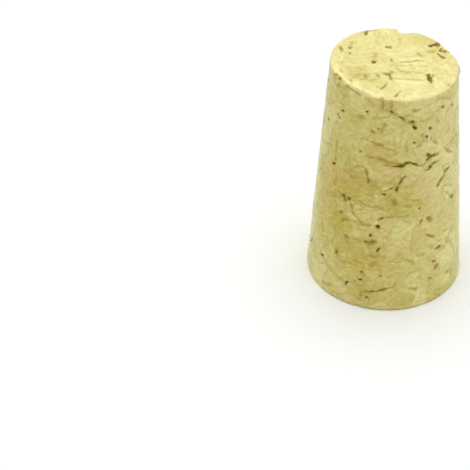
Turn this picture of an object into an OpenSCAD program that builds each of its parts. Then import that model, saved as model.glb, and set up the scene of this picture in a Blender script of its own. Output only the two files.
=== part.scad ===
// Tapered stopper of agglomerated cork.
// Millimetres, +Z up.  The wide end stands on Z = 0, centred on the origin.
// Angles round the stopper are degrees from the front (-Y), growing towards the right (+X).

/* [Stopper] */
// Diameter of the wide end
wide_d = 24; // [20:0.5:32]
// Diameter of the narrow end
narrow_d = 19; // [15:0.5:26]
// Length along the axis
length = 38; // [30:0.5:50]
// Width of the rub at the rim of each end
rim_rub = 0.25; // [0.1:0.05:0.6]

/* [Saw cut] */
// How far the narrow end is sawn out of square, in degrees
saw_tilt = 3.8; // [0:0.2:6]
// Which side of the narrow end stands highest
saw_high_side = -69; // [-180:1:180]

/* [Pits] */
// Scale of every open pit, across and deep
pit_scale = 1; // [0.6:0.05:1.3]
// Pits scattered over the far side
far_pits = 58; // [0:1:80]
// Pits scattered over the wide end
end_pits = 26; // [0:1:40]
// Width of a scattered pit
pit_w = 0.45; // [0.3:0.05:0.7]

/* [Splits] */
// Depth of a split between granules
split_depth = 0.6; // [0.2:0.05:1]
// Width of a scattered split at its middle
split_w = 0.28; // [0.15:0.01:0.4]
// Size of a cork granule, which is also how far a split runs in one direction
granule = 1.3; // [0.8:0.1:2]
// Splits scattered over the far side
far_splits = 12; // [0:1:18]

/* [Rim] */
// How far a granule at the narrow rim stands proud of the side
proud = 0.4; // [0.2:0.05:0.5]
// Diameter of that granule
proud_d = 5.4; // [4:0.2:7]

/* [Hidden] */

wide_r = wide_d / 2;
narrow_r = narrow_d / 2;
taper = atan((wide_r - narrow_r) / length);
body_fn = 180;
pit_fn = 20;
pit_rise = 12;      // slope at which a long pit comes up to the skin, in degrees
pit_least_run = 0.02; // length that a round pit is drawn out by
reach = 1;          // how far a cutting tool stands clear of the skin
over = length;      // more than any part of the blank that is sawn away
spare = length / 8; // how far the blank runs past the saw cut
proud_at = [93, 109]; // angles of the granules that stand proud

// Open pits on the front: [angle, % up the side, length, lean, width, depth].
// lean is degrees from level, growing anticlockwise as seen from outside.
side_pits = [
    [15.8, 87.4, 0.80, -30, 0.44, 0.75], [13, 90.3, 0.70, -12, 0.25, 0.35],
    [27.5, 81.7, 0.50, 0, 0.45, 0.70], [30.3, 85.3, 0.55, -35, 0.30, 0.45],
    [16, 80.3, 0.40, -20, 0.35, 0.45], [45, 92.3, 0.60, -20, 0.40, 0.50],
    [59, 90, 0.70, -35, 0.28, 0.35], [30, 72.8, 1.25, -50, 0.46, 0.60],
    [34, 72.2, 1.00, 5, 0.28, 0.40], [28.5, 71.2, 0.70, 15, 0.30, 0.40],
    [31.5, 67.1, 0.65, 45, 0.40, 0.50], [29.2, 66.3, 0.65, 5, 0.30, 0.40],
    [35, 68.2, 0.95, 12, 0.25, 0.35], [-10.7, 41.2, 0.75, 80, 0.55, 0.90],
    [-9.5, 30.1, 0.95, 64, 0.28, 0.45], [-32.4, 10.4, 0.60, 60, 0.50, 0.75],
    [-33.2, 9.3, 0.60, 60, 0.22, 0.30], [-15.8, 5.7, 0.60, -20, 0.38, 0.50],
    [-55, 84.7, 0.60, 10, 0.50, 0.60], [-56.4, 85.3, 0.85, -35, 0.28, 0.30],
    [-51.7, 88.9, 0.65, 30, 0.28, 0.35], [-26.3, 93.3, 0.38, 0, 0.35, 0.45],
    [-56, 62.8, 0.85, 30, 0.38, 0.60], [-54, 65.5, 0.30, 0, 0.25, 0.30],
    [-42.8, 43, 0.55, 35, 0.35, 0.45], [-42, 51.4, 0.60, 50, 0.28, 0.35],
    [-40.4, 50.2, 1.00, -75, 0.35, 0.45], [-36.6, 51, 0.85, 60, 0.30, 0.35],
    [-44, 22.9, 1.00, 70, 0.55, 0.30], [-59, 16.2, 1.00, 25, 0.35, 0.35],
    [-21.3, 17.9, 0.50, 0, 0.35, 0.45], [-22, 14, 0.80, 10, 0.30, 0.40],
    [-16.3, 36.7, 0.60, 85, 0.38, 0.35], [-18.5, 32.9, 0.90, -10, 0.45, 0.25],
    [-14.3, 33.6, 0.60, 40, 0.40, 0.25], [-36.3, 32.5, 0.75, -20, 0.60, 0.30],
    [40.8, 25.9, 1.15, 0, 0.42, 0.60], [39.8, 16.8, 1.30, 10, 1.00, 0.33],
    [36.4, 20.3, 0.75, -15, 0.35, 0.35], [59.3, 45.9, 1.20, -35, 0.40, 0.50],
    [24.2, 42.6, 0.45, 90, 0.35, 0.45], [32, 42, 1.50, -50, 0.75, 0.33],
    [22.6, 48.8, 0.42, -20, 0.36, 0.45], [32.8, 12.6, 0.85, -30, 0.25, 0.30],
    [3, 59.4, 1.00, 85, 0.38, 0.45], [-7.5, 57, 0.65, -5, 0.35, 0.45],
    [-2.2, 59.9, 0.30, 0, 0.25, 0.30], [-8.2, 45.4, 0.45, 30, 0.25, 0.30],
    [54.5, 9.6, 1.50, -25, 0.50, 0.25], [-6.3, 17.5, 0.42, 0, 0.35, 0.20],
    [3.7, 92.4, 0.85, -35, 0.25, 0.35], [-5, 95.2, 0.50, -40, 0.28, 0.35],
    [32.5, 33.6, 0.95, -35, 0.22, 0.25], [-19.5, 85.1, 0.85, -12, 0.40, 0.25],
    [-15.5, 86.8, 0.32, 0, 0.28, 0.30], [-30, 74.6, 0.40, -45, 0.25, 0.30]
];

// Splits on the front: [depth, path].  The depth is a share of split_depth, and the path is a list
// of [angle, % up the side, width], thin at both ends.
side_splits = [
    [1, [[-4, 70.4, 0], [1, 70.3, 0.24], [4.5, 70.2, 0.52], [7.6, 70.5, 0.46], [9.5, 71.3, 0.32],
     [12, 71.5, 0.30], [15.5, 70.9, 0.22], [18, 70.1, 0.26], [21, 69.5, 0]]],
    [0.35, [[-20, 6, 0], [-19, 7.7, 0.34], [-16.5, 8.8, 0.28], [-12, 9.2, 0.22],
     [-7, 10.1, 0.20], [-1, 11.4, 0.26], [3.4, 11.9, 0.36], [5.2, 13.4, 0]]],
    [0.3, [[-24.6, 68.2, 0], [-22.6, 66.2, 0.36], [-21.7, 64.1, 0.26], [-20.2, 62.4, 0.40],
     [-21.4, 60.4, 0]]],
    [0.4, [[3.2, 61.6, 0], [5.6, 62.8, 0.28], [6.6, 64.3, 0.24], [9.2, 65.5, 0.30], [10.2, 65.5, 0]]],
    [0.25, [[-36.2, 49.6, 0], [-33.2, 47.8, 0.22], [-32.2, 45.2, 0.20], [-28.2, 43.4, 0.18],
     [-25, 41.8, 0]]],
    [0.6, [[38.5, 55.8, 0], [41, 57.1, 0.26], [44, 58.5, 0.44], [46.5, 59.7, 0.18],
     [48.5, 60.9, 0.36], [51, 61.4, 0.42], [54.5, 61.7, 0]]]
];

// Open pits on the narrow end: [x, y, length, lean, width, depth], x and y as % of its radius.
face_pits = [
    [-32, 1, 0.95, 80, 0.50, 0.80], [52, -37, 1.70, -82, 0.42, 0.65],
    [56.5, -31, 0.95, 50, 0.24, 0.40], [49, -29.5, 0.60, -55, 0.22, 0.35],
    [-12, -33, 0.90, -10, 0.50, 0.45], [-7.5, -39.5, 0.90, -75, 0.28, 0.30],
    [-7, 44, 1.00, -10, 0.50, 0.50], [-41, 81, 0.70, 80, 0.40, 0.60],
    [-67, 37, 0.70, 20, 0.35, 0.40], [-68, 21, 0.50, 90, 0.30, 0.40],
    [-81, 32, 1.10, -70, 0.35, 0.30], [-4, 7, 0.60, 90, 0.30, 0.25],
    [-27, -37, 0.50, 70, 0.28, 0.30], [-2, -88, 0.80, 65, 0.30, 0.40],
    [71, 58, 1.00, 70, 0.65, 0.80], [65, 56, 0.70, 10, 0.40, 0.50],
    [60.5, 53, 0.60, 50, 0.40, 0.50], [84, 41, 0.65, 10, 0.50, 0.60],
    [75, 41, 0.55, 20, 0.30, 0.35], [78, 49, 0.65, 60, 0.25, 0.30],
    [78, 24, 0.70, -40, 0.40, 0.55], [74, 28.5, 0.50, -50, 0.28, 0.35]
];

// Splits on the narrow end: [depth, path], with a path of [x, y, width], x and y as % of its radius.
face_splits = [
    [0.25, [[12, 2, 0], [20, 3, 0.16], [28, 8, 0.18], [37, 10, 0.16], [43, 10, 0]]],
    [0.25, [[2, -8, 0], [3, -16, 0.14], [9, -23, 0.20], [25, -26, 0.16], [44, -24, 0]]],
    [0.5, [[-13, -54, 0], [-18, -63, 0.18], [-22, -70, 0.24], [-24, -73, 0]]]
];

// Flat faces where granules broke away from the narrow rim:
// [angle of the face, shift along it, its width, bite, depth].
rim_breaks = [[-39, 0, 9, 0.50, 2.2], [-57, 0.3, 3.4, 0.34, 1.1], [178, -3.6, 5.6, 1.05, 1.4]];

// Round bites where crumbs fell out of a rim: [angle, bite, radius].
rim_bites = [[-162, 0.6, 1.1], [-148, 0.3, 0.6], [74, 0.25, 0.7]];
foot_bites = [[-23, 0.3, 0.6], [52, 0.2, 0.7], [118, 0.4, 1.2], [-104, 0.25, 0.8], [-141, 0.35, 1]];

// Radius of the side at a height of up % of the length
function side_r(up) = wide_r + (narrow_r - wide_r) * up / 100;

// n numbers between 0 and 1 that spread evenly without a visible pattern
function spread(n, step, start) = [for (i = [0:1:n - 1]) let (v = start + i * step) v - floor(v)];

// Points and widths of a split on the side, laid flat about its own middle
function laid_flat(path, mid) = [
    for (p = path) [
        side_r(p[1]) * (p[0] - mid[0]) * PI / 180,
        (p[1] - mid[1]) / 100 * length / cos(taper),
        p[2]
    ]
];

// A split that wanders about the origin in steps of one granule
function wander(seed) =
    let (turn = rands(-50, 50, 4, seed), way = rands(0, 360, 1, seed + 0.5)[0])
    let (a = way + turn[0], b = way + turn[1])
    [
        [-granule * (cos(a) + cos(way)) / 2, -granule * (sin(a) + sin(way)) / 2, 0],
        [-granule * cos(way) / 2, -granule * sin(way) / 2, split_w * 0.8],
        [0, 0, split_w],
        [granule * cos(b) / 2, granule * sin(b) / 2, split_w * 0.6],
        [granule * (cos(b) + cos(way)) / 2, granule * (sin(b) + sin(way)) / 2, 0]
    ];

// One edge of a split's outline, on the side that sign (1 or -1) gives
function split_edge(path, sign) = [
    for (i = [1:len(path) - 2])
    let (d = path[i + 1] - path[i - 1], run = norm([d[0], d[1]]))
    [path[i][0] - sign * d[1] / run * path[i][2] / 2, path[i][1] + sign * d[0] / run * path[i][2] / 2]
];

// Puts its children on the side, with their Z straight out of the cork
module on_side(angle, up)
    translate([0, 0, length * up / 100]) rotate([0, 0, angle])
    translate([0, -side_r(up), 0]) rotate([90 - taper, 0, 0]) children();

// Puts its children in the plane of the sawn narrow end, with their Z out of the cork
module on_narrow_end()
    translate([0, 0, length]) rotate([0, 0, saw_high_side]) rotate([-saw_tilt, 0, 0])
    rotate([0, 0, -saw_high_side]) children();

// Puts its children on the wide end, with their Z out of the cork
module on_wide_end() rotate([180, 0, 0]) children();

// A pit with a mouth of the given size: a ball, drawn out along X where it is long,
// that comes up to the skin at its far end
module pit(long, wide, deep) {
    w = wide * pit_scale;
    d = deep * pit_scale;
    run = max(pit_least_run, long * pit_scale - w);
    r = (d * d + w * w / 4) / (2 * d);
    translate([-run / 2, 0, r - d]) rotate([0, 90 - pit_rise, 0])
    rotate_extrude($fn = pit_fn) intersection() {
        union() {
            circle(r, $fn = pit_fn);
            translate([0, run]) circle(r, $fn = pit_fn);
            square([r, run]);
        }
        translate([0, -2 * r]) square([2 * r, run + 4 * r]);
    }
}

// A split along a path of [x, y, width] that lies in the skin
module split(path, deep) {
    last = len(path) - 1;
    start = [path[0][0], path[0][1]];
    end = [path[last][0], path[last][1]];
    back = split_edge(path, -1);
    outline = concat(
        [start], split_edge(path, 1), [end], [for (i = [len(back) - 1:-1:0]) back[i]]
    );
    translate([0, 0, -deep]) linear_extrude(deep + reach) polygon(outline);
}

// Cuts a flat face at the narrow rim, which slopes out to meet the side
module rim_break(angle, shift, wide, bite, deep) {
    slope = atan((bite + deep * tan(taper)) / deep);
    rotate([0, 0, angle]) translate([shift, bite - narrow_r, 0]) rotate([-slope, 0, 0])
    translate([-wide / 2, -over, -over]) cube([wide, over, 2 * over]);
}

// Cuts a round bite out of a rim
module rim_bite(angle, bite, r, rim_r)
    rotate([0, 0, angle]) translate([0, bite - r - rim_r, 0]) sphere(r, $fn = 2 * pit_fn);

// The turned blank, with the granules that stand proud of it
module blank() {
    rotate_extrude($fn = body_fn) polygon([
        [0, 0], [wide_r - rim_rub, 0], [wide_r, rim_rub],
        [narrow_r, length], [narrow_r - spare * tan(taper), length + spare],
        [0, length + spare]
    ]);
    for (angle = proud_at) rotate([0, 0, angle])
        translate([0, -(narrow_r + proud - proud_d / 2), length - proud_d / 4])
        sphere(d = proud_d, $fn = 60);
}

// All that is kept below the saw cut and its rubbed rim
module below_saw_cut() on_narrow_end()
    rotate_extrude($fn = body_fn) polygon([
        [0, -2 * over], [narrow_r + over, -2 * over], [narrow_r + over, -rim_rub - over],
        [narrow_r - rim_rub, 0], [0, 0]
    ]);

module front_pits()
    for (p = side_pits) on_side(p[0], p[1]) rotate([0, 0, p[3]]) pit(p[2], p[4], p[5]);

module narrow_end_pits()
    for (p = face_pits) on_narrow_end() translate([p[0], p[1]] * narrow_r / 100)
        rotate([0, 0, p[3]]) pit(p[2], p[4], p[5]);

// Pits over the side that faces away, from 72 degrees round to 288
module far_side_pits() {
    around = spread(far_pits, 0.7549, 0.31);
    up = spread(far_pits, 0.5698, 0.17);
    big = rands(0, 1, 3 * far_pits + 1, 12);
    for (i = [0:1:far_pits - 1]) {
        w = pit_w * (0.6 + 0.8 * pow(big[3 * i], 2));
        on_side(72 + 216 * around[i], 4 + 91 * up[i]) rotate([0, 0, 180 * big[3 * i + 1]])
            pit(w * (1 + 1.6 * big[3 * i + 2]), w, w * (0.8 + 0.6 * big[3 * i]));
    }
}

// Pits over the wide end, on a sunflower spiral that leaves its middle whole
module wide_end_pits() {
    big = rands(0, 1, 3 * end_pits + 1, 23);
    for (i = [0:1:end_pits - 1]) {
        w = pit_w * (0.6 + 0.8 * pow(big[3 * i], 2));
        on_wide_end() rotate([0, 0, 137.5 * i]) translate([wide_r * sqrt((i + 1.5) / (end_pits + 3)), 0])
            rotate([0, 0, 180 * big[3 * i + 1]])
            pit(w * (1 + 1.6 * big[3 * i + 2]), w, w * (0.8 + 0.6 * big[3 * i]));
    }
}

module front_splits()
    for (s = side_splits) {
        path = s[1];
        mid = (path[0] + path[len(path) - 1]) / 2;
        on_side(mid[0], mid[1]) split(laid_flat(path, mid), s[0] * split_depth);
    }

module narrow_end_splits()
    for (s = face_splits) on_narrow_end()
        split([for (p = s[1]) [p[0] * narrow_r / 100, p[1] * narrow_r / 100, p[2]]], s[0] * split_depth);

module far_side_splits() {
    around = spread(far_splits, 0.618, 0.05);
    up = spread(far_splits, 0.37, 0.12);
    for (i = [0:1:far_splits - 1])
        on_side(80 + 200 * around[i], 8 + 84 * up[i]) split(wander(i + 1), split_depth);
}

module cork_stopper() color("#d0c07e") difference() {
    intersection() {
        blank();
        below_saw_cut();
    }
    front_pits();
    front_splits();
    narrow_end_pits();
    narrow_end_splits();
    far_side_pits();
    far_side_splits();
    wide_end_pits();
    for (b = rim_breaks) on_narrow_end() rim_break(b[0], b[1], b[2], b[3], b[4]);
    for (b = rim_bites) on_narrow_end() rim_bite(b[0], b[1], b[2], narrow_r);
    for (b = foot_bites) rim_bite(b[0], b[1], b[2], wide_r);
}

cork_stopper();
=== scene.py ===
"""A tapered stopper of agglomerated cork, standing on its wide end."""

import math

import bmesh
import bpy
import numpy as np
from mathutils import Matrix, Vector, kdtree, noise
from mathutils.bvhtree import BVHTree


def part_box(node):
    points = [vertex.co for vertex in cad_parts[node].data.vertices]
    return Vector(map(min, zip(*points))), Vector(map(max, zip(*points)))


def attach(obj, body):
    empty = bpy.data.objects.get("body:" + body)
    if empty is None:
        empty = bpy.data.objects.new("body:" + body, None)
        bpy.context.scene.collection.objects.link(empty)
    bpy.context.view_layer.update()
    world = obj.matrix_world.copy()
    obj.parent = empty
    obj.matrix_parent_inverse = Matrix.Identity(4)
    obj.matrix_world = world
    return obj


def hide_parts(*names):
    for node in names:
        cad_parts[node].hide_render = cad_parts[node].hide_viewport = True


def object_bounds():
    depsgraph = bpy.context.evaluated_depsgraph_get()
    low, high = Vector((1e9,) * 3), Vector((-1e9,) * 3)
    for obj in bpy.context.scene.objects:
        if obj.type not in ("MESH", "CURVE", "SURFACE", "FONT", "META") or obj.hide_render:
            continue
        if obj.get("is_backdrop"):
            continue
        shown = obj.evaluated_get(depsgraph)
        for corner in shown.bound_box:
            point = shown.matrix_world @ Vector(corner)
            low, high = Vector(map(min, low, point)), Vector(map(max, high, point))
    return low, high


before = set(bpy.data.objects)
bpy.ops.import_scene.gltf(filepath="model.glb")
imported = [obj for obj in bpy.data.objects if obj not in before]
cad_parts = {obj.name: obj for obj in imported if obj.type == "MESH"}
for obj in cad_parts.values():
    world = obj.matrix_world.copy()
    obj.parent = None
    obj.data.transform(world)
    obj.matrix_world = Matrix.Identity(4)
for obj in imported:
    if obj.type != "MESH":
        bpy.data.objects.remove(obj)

bl_info = {
    "name": "Cork Stopper",
    "version": (1, 0, 0),
    "blender": (4, 5, 0),
    "location": "View3D > Sidebar > Cork",
    "description": "Models a granulated cork stopper over its turned solid and sets it on a pale table",
    "category": "Object",
}

MM = 0.001
SOLID = "cork_stopper"
CAD_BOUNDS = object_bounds()

# Spots on the side are [degrees from the front, growing to the right; height in mm].
# Spots on the sawn end are [mm to the right, mm to the back].

# Tinted areas of the side: [angle, height, radius in mm, tan, rosy, lean of the growth lines or None].
# Tan below 0 is paler, and rosy below 0 is olive.  The lean is in degrees.
# Some tints are partly painted light and shade: the pale areas on the right, from about 30 to 60 degrees,
# stand in part for the stronger light from the right, and the tan areas in the middle of the left stand in
# part for the shade there.
SIDE_TINTS_AND_PAINTED_LIGHT = [
    [-35, 22.5, 3.4, 0.45, 0.50, 20], [-60, 16.8, 3.2, 0.60, -0.05, 35], [-20, 33, 1.8, 0.40, 0.15, 10],
    [-15, 29.2, 2.2, 0.22, 0.00, 5], [-14, 27.6, 0.9, 0.50, 0.20, None],
    [-4, 27.3, 0.8, 0.60, 0.20, None], [-23, 37.5, 0.8, 0.45, -0.50, None],
    [-62, 35.5, 1.5, 0.10, 0.50, 75], [-50, 37.3, 0.9, 0.60, -0.90, None],
    [-48, 31, 3.0, -0.10, -0.15, 60], [16, 32.2, 1.4, -0.15, -0.20, None],
    [31, 32.6, 2.0, -0.10, 0.35, 30], [12, 36, 2.0, -0.15, 0.10, 15], [-6, 32.5, 1.6, -0.15, -0.20, -10],
    [51, 25.6, 1.5, -1.00, 0.10, 50], [46, 31.5, 3.2, -0.50, 0.10, -35],
    [60, 20.5, 2.4, -0.40, -0.20, -35], [34, 22, 2.6, -0.30, 0.10, 45], [6, 18.9, 1.5, 0.50, -0.50, 10],
    [18, 21.4, 1.7, 0.35, 0.00, 10], [25, 19.3, 0.8, 0.20, -0.60, None], [10, 15.8, 2.4, -0.25, 0.10, 15],
    [24, 14.4, 1.5, 0.35, 0.10, 10], [-46, 14.7, 0.8, 1.00, -0.60, None],
    [-38.5, 15.2, 0.7, 0.90, -0.30, None], [-23, 14.5, 0.8, 0.50, -0.20, None],
    [-28, 17.4, 2.4, 0.25, -0.20, 10], [-5, 19.7, 1.1, -0.10, -0.30, 88],
    [-8, 19, 0.7, 0.15, -0.70, None], [-37, 11.2, 1.1, 0.15, -0.50, None],
    [-20, 10, 3.0, 0.50, 0.20, -15], [-33, 8, 2.6, 0.40, 0.20, -15], [-20, 3.6, 2.4, 0.45, 0.30, -15],
    [1, 4.6, 1.5, -0.25, 0.30, None], [8, 5.2, 1.1, 0.25, 0.30, None], [12, 7.8, 2.0, 0.05, -0.35, -20],
    [45, 12, 4.0, -0.35, 0.05, -35], [30, 2.4, 2.6, 0.10, -0.25, -10], [48, 4.6, 2.8, -0.30, 0.15, -30],
    [28, 8, 2.2, -0.10, 0.10, -20], [-1, 24.4, 1.3, 0.30, 0.50, -40], [-48, 26.5, 2.4, 0.05, -0.30, 50],
    [-57, 21.5, 2.2, 0.25, -0.10, 40], [-28, 24.3, 1.6, 0.30, 0.20, 30],
    [36, 17.6, 2.6, -0.20, 0.40, None], [-57, 2.4, 2.6, -0.50, 0.20, -15],
    # The three pale areas low round the front of the foot, at heights of 1.2 to 1.4 mm, are painted light
    # thrown up by the table
    [13, 2.6, 1.8, -0.10, 0.45, -15], [-30, 1.4, 2.2, -0.35, 0.10, None],
    [0, 1.2, 2.2, -0.35, 0.05, None], [28, 1.4, 2.2, -0.35, 0.15, None],
    [30, 15.5, 2.6, -0.30, 0.00, None], [38, 24.5, 2.2, -0.35, 0.05, 40],
    [-42, 21.5, 2.6, 0.30, 0.10, 35], [52, 11.2, 1.0, -0.80, 0.00, None],
    [53, 2.4, 1.4, -0.80, 0.05, -20], [47, 7.0, 1.0, -0.60, 0.30, None],
    [60, 9.6, 1.5, -0.50, 0.00, None], [38, 34.2, 1.3, 0.25, 0.45, None],
    [15, 29.4, 1.6, 0.10, 0.70, None], [-4, 20.6, 1.0, 0.40, 0.10, None],
    [30, 28.9, 1.6, -0.40, 0.10, 30], [22, 28.7, 1.2, -0.20, -0.20, None], [45, 24, 2.2, -0.70, 0.00, 45],
    [57, 33, 2.4, -0.20, -0.05, None], [44, 36, 1.8, -0.35, -0.15, None],
    [-60, 11, 2.2, 0.40, -0.10, None],
]

# Tinted areas of the sawn end, in the same form: [right, back, radius in mm, tan, rosy, lean].
END_TINTS = [
    [-5.6, -3.6, 1.4, 0.90, 0.35, 5], [-4.2, -3.9, 0.7, 1.00, 0.15, None],
    [-5.8, -1.8, 1.1, 0.55, 0.10, 5], [-3.9, -2.4, 0.9, 0.40, 0.20, 5], [-2.9, 1.6, 0.9, 0.50, 0.10, 85],
    [6.9, 5.0, 1.5, 0.90, 0.10, 40], [7.3, 2.7, 1.3, 0.65, 0.25, 40], [5.4, 3.6, 0.7, 0.55, 0.00, None],
    [3.9, 2.5, 0.7, 0.50, 0.10, None], [4.5, 7.5, 1.5, 0.60, -0.50, None],
    [-3.5, 8.2, 1.0, 0.60, 0.10, 10], [-6.4, 6.4, 1.0, 0.30, -0.20, None],
    [-0.6, 4.2, 0.5, 0.40, 0.10, None], [-2.8, -5.0, 0.9, 0.25, -0.50, None],
    [0.4, -1.4, 0.7, 0.25, 0.00, None], [-6.9, 3.0, 1.0, 0.30, 0.05, None],
    [3, -6.5, 2.6, -0.50, 0.00, 5], [-4.8, -7.0, 2.0, -0.50, 0.00, -20],
    [-8.4, -0.8, 1.3, -0.45, 0.00, 80], [2.4, -4.7, 0.8, -0.45, 0.10, 0], [1.5, 3.0, 2.4, -0.25, 0.30, 0],
    [-1.2, -1.4, 1.0, -0.20, 0.00, None], [-8.6, 2.6, 0.9, 0.40, 0.50, None],
    [1.5, -0.5, 1.8, -0.15, 0.35, 0], [-7.2, -3.8, 1.2, 0.50, -0.20, None],
    [-2.5, -4.0, 1.2, 0.35, -0.20, None],
]

# Crumbs of bark on the side: [angle, height, radius in mm, strength].
SIDE_CRUMBS = [
    [-60, 37.9, 0.65, 1.6], [-64, 38.1, 0.60, 1.6], [-62, 37.2, 0.50, 1.4], [-58, 36.7, 0.40, 1.0],
    [-40, 15.1, 0.55, 0.55], [-37, 15.4, 0.45, 0.50], [-36, 12.3, 0.55, 0.45], [-26, 12.5, 0.50, 0.35],
    [-18, 12.4, 0.60, 0.45], [-14, 12.8, 0.50, 0.50], [-20, 27.8, 0.60, 0.55], [-10, 27.6, 0.70, 0.50],
    [-3, 27.3, 0.70, 0.80], [3, 27.1, 0.45, 0.60], [-43, 8.6, 0.55, 0.35], [-12, 8.8, 0.50, 0.40],
    [-28, 4.4, 0.50, 0.30], [2, 6.4, 0.60, 0.35], [-1.5, 20.8, 0.60, 0.35], [-8, 21.4, 0.50, 0.40],
    [-19, 32.2, 0.60, 0.40], [-22, 37.6, 0.60, 0.60], [-30, 38.4, 0.40, 0.60], [10, 26.8, 0.50, 0.35],
    [-5, 20.7, 0.40, 0.50], [-8.5, 20.6, 0.40, 0.40], [0.5, 21.6, 0.35, 0.40], [1.5, 20.2, 0.45, 0.40],
    [-52, 21.1, 0.60, 0.30],
]

# Crumbs of bark on the sawn end: [right, back, radius in mm, strength].
END_CRUMBS = [
    [6.5, 5.6, 0.80, 0.9], [7.6, 3.9, 0.80, 0.8], [5.8, 5.2, 0.60, 0.6], [7.4, 4.9, 0.60, 0.8],
    [-3.9, 7.7, 0.50, 0.4], [7.1, 2.5, 0.70, 0.7], [-4.3, -3.8, 0.50, 0.35], [3.9, 2.6, 0.50, 0.25],
    [-2.8, 1.8, 0.50, 0.2], [-8.2, -4.4, 0.60, 1.6], [-8.6, -3.6, 0.50, 1.3], [6.4, 4.6, 0.90, 0.4],
]
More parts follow.
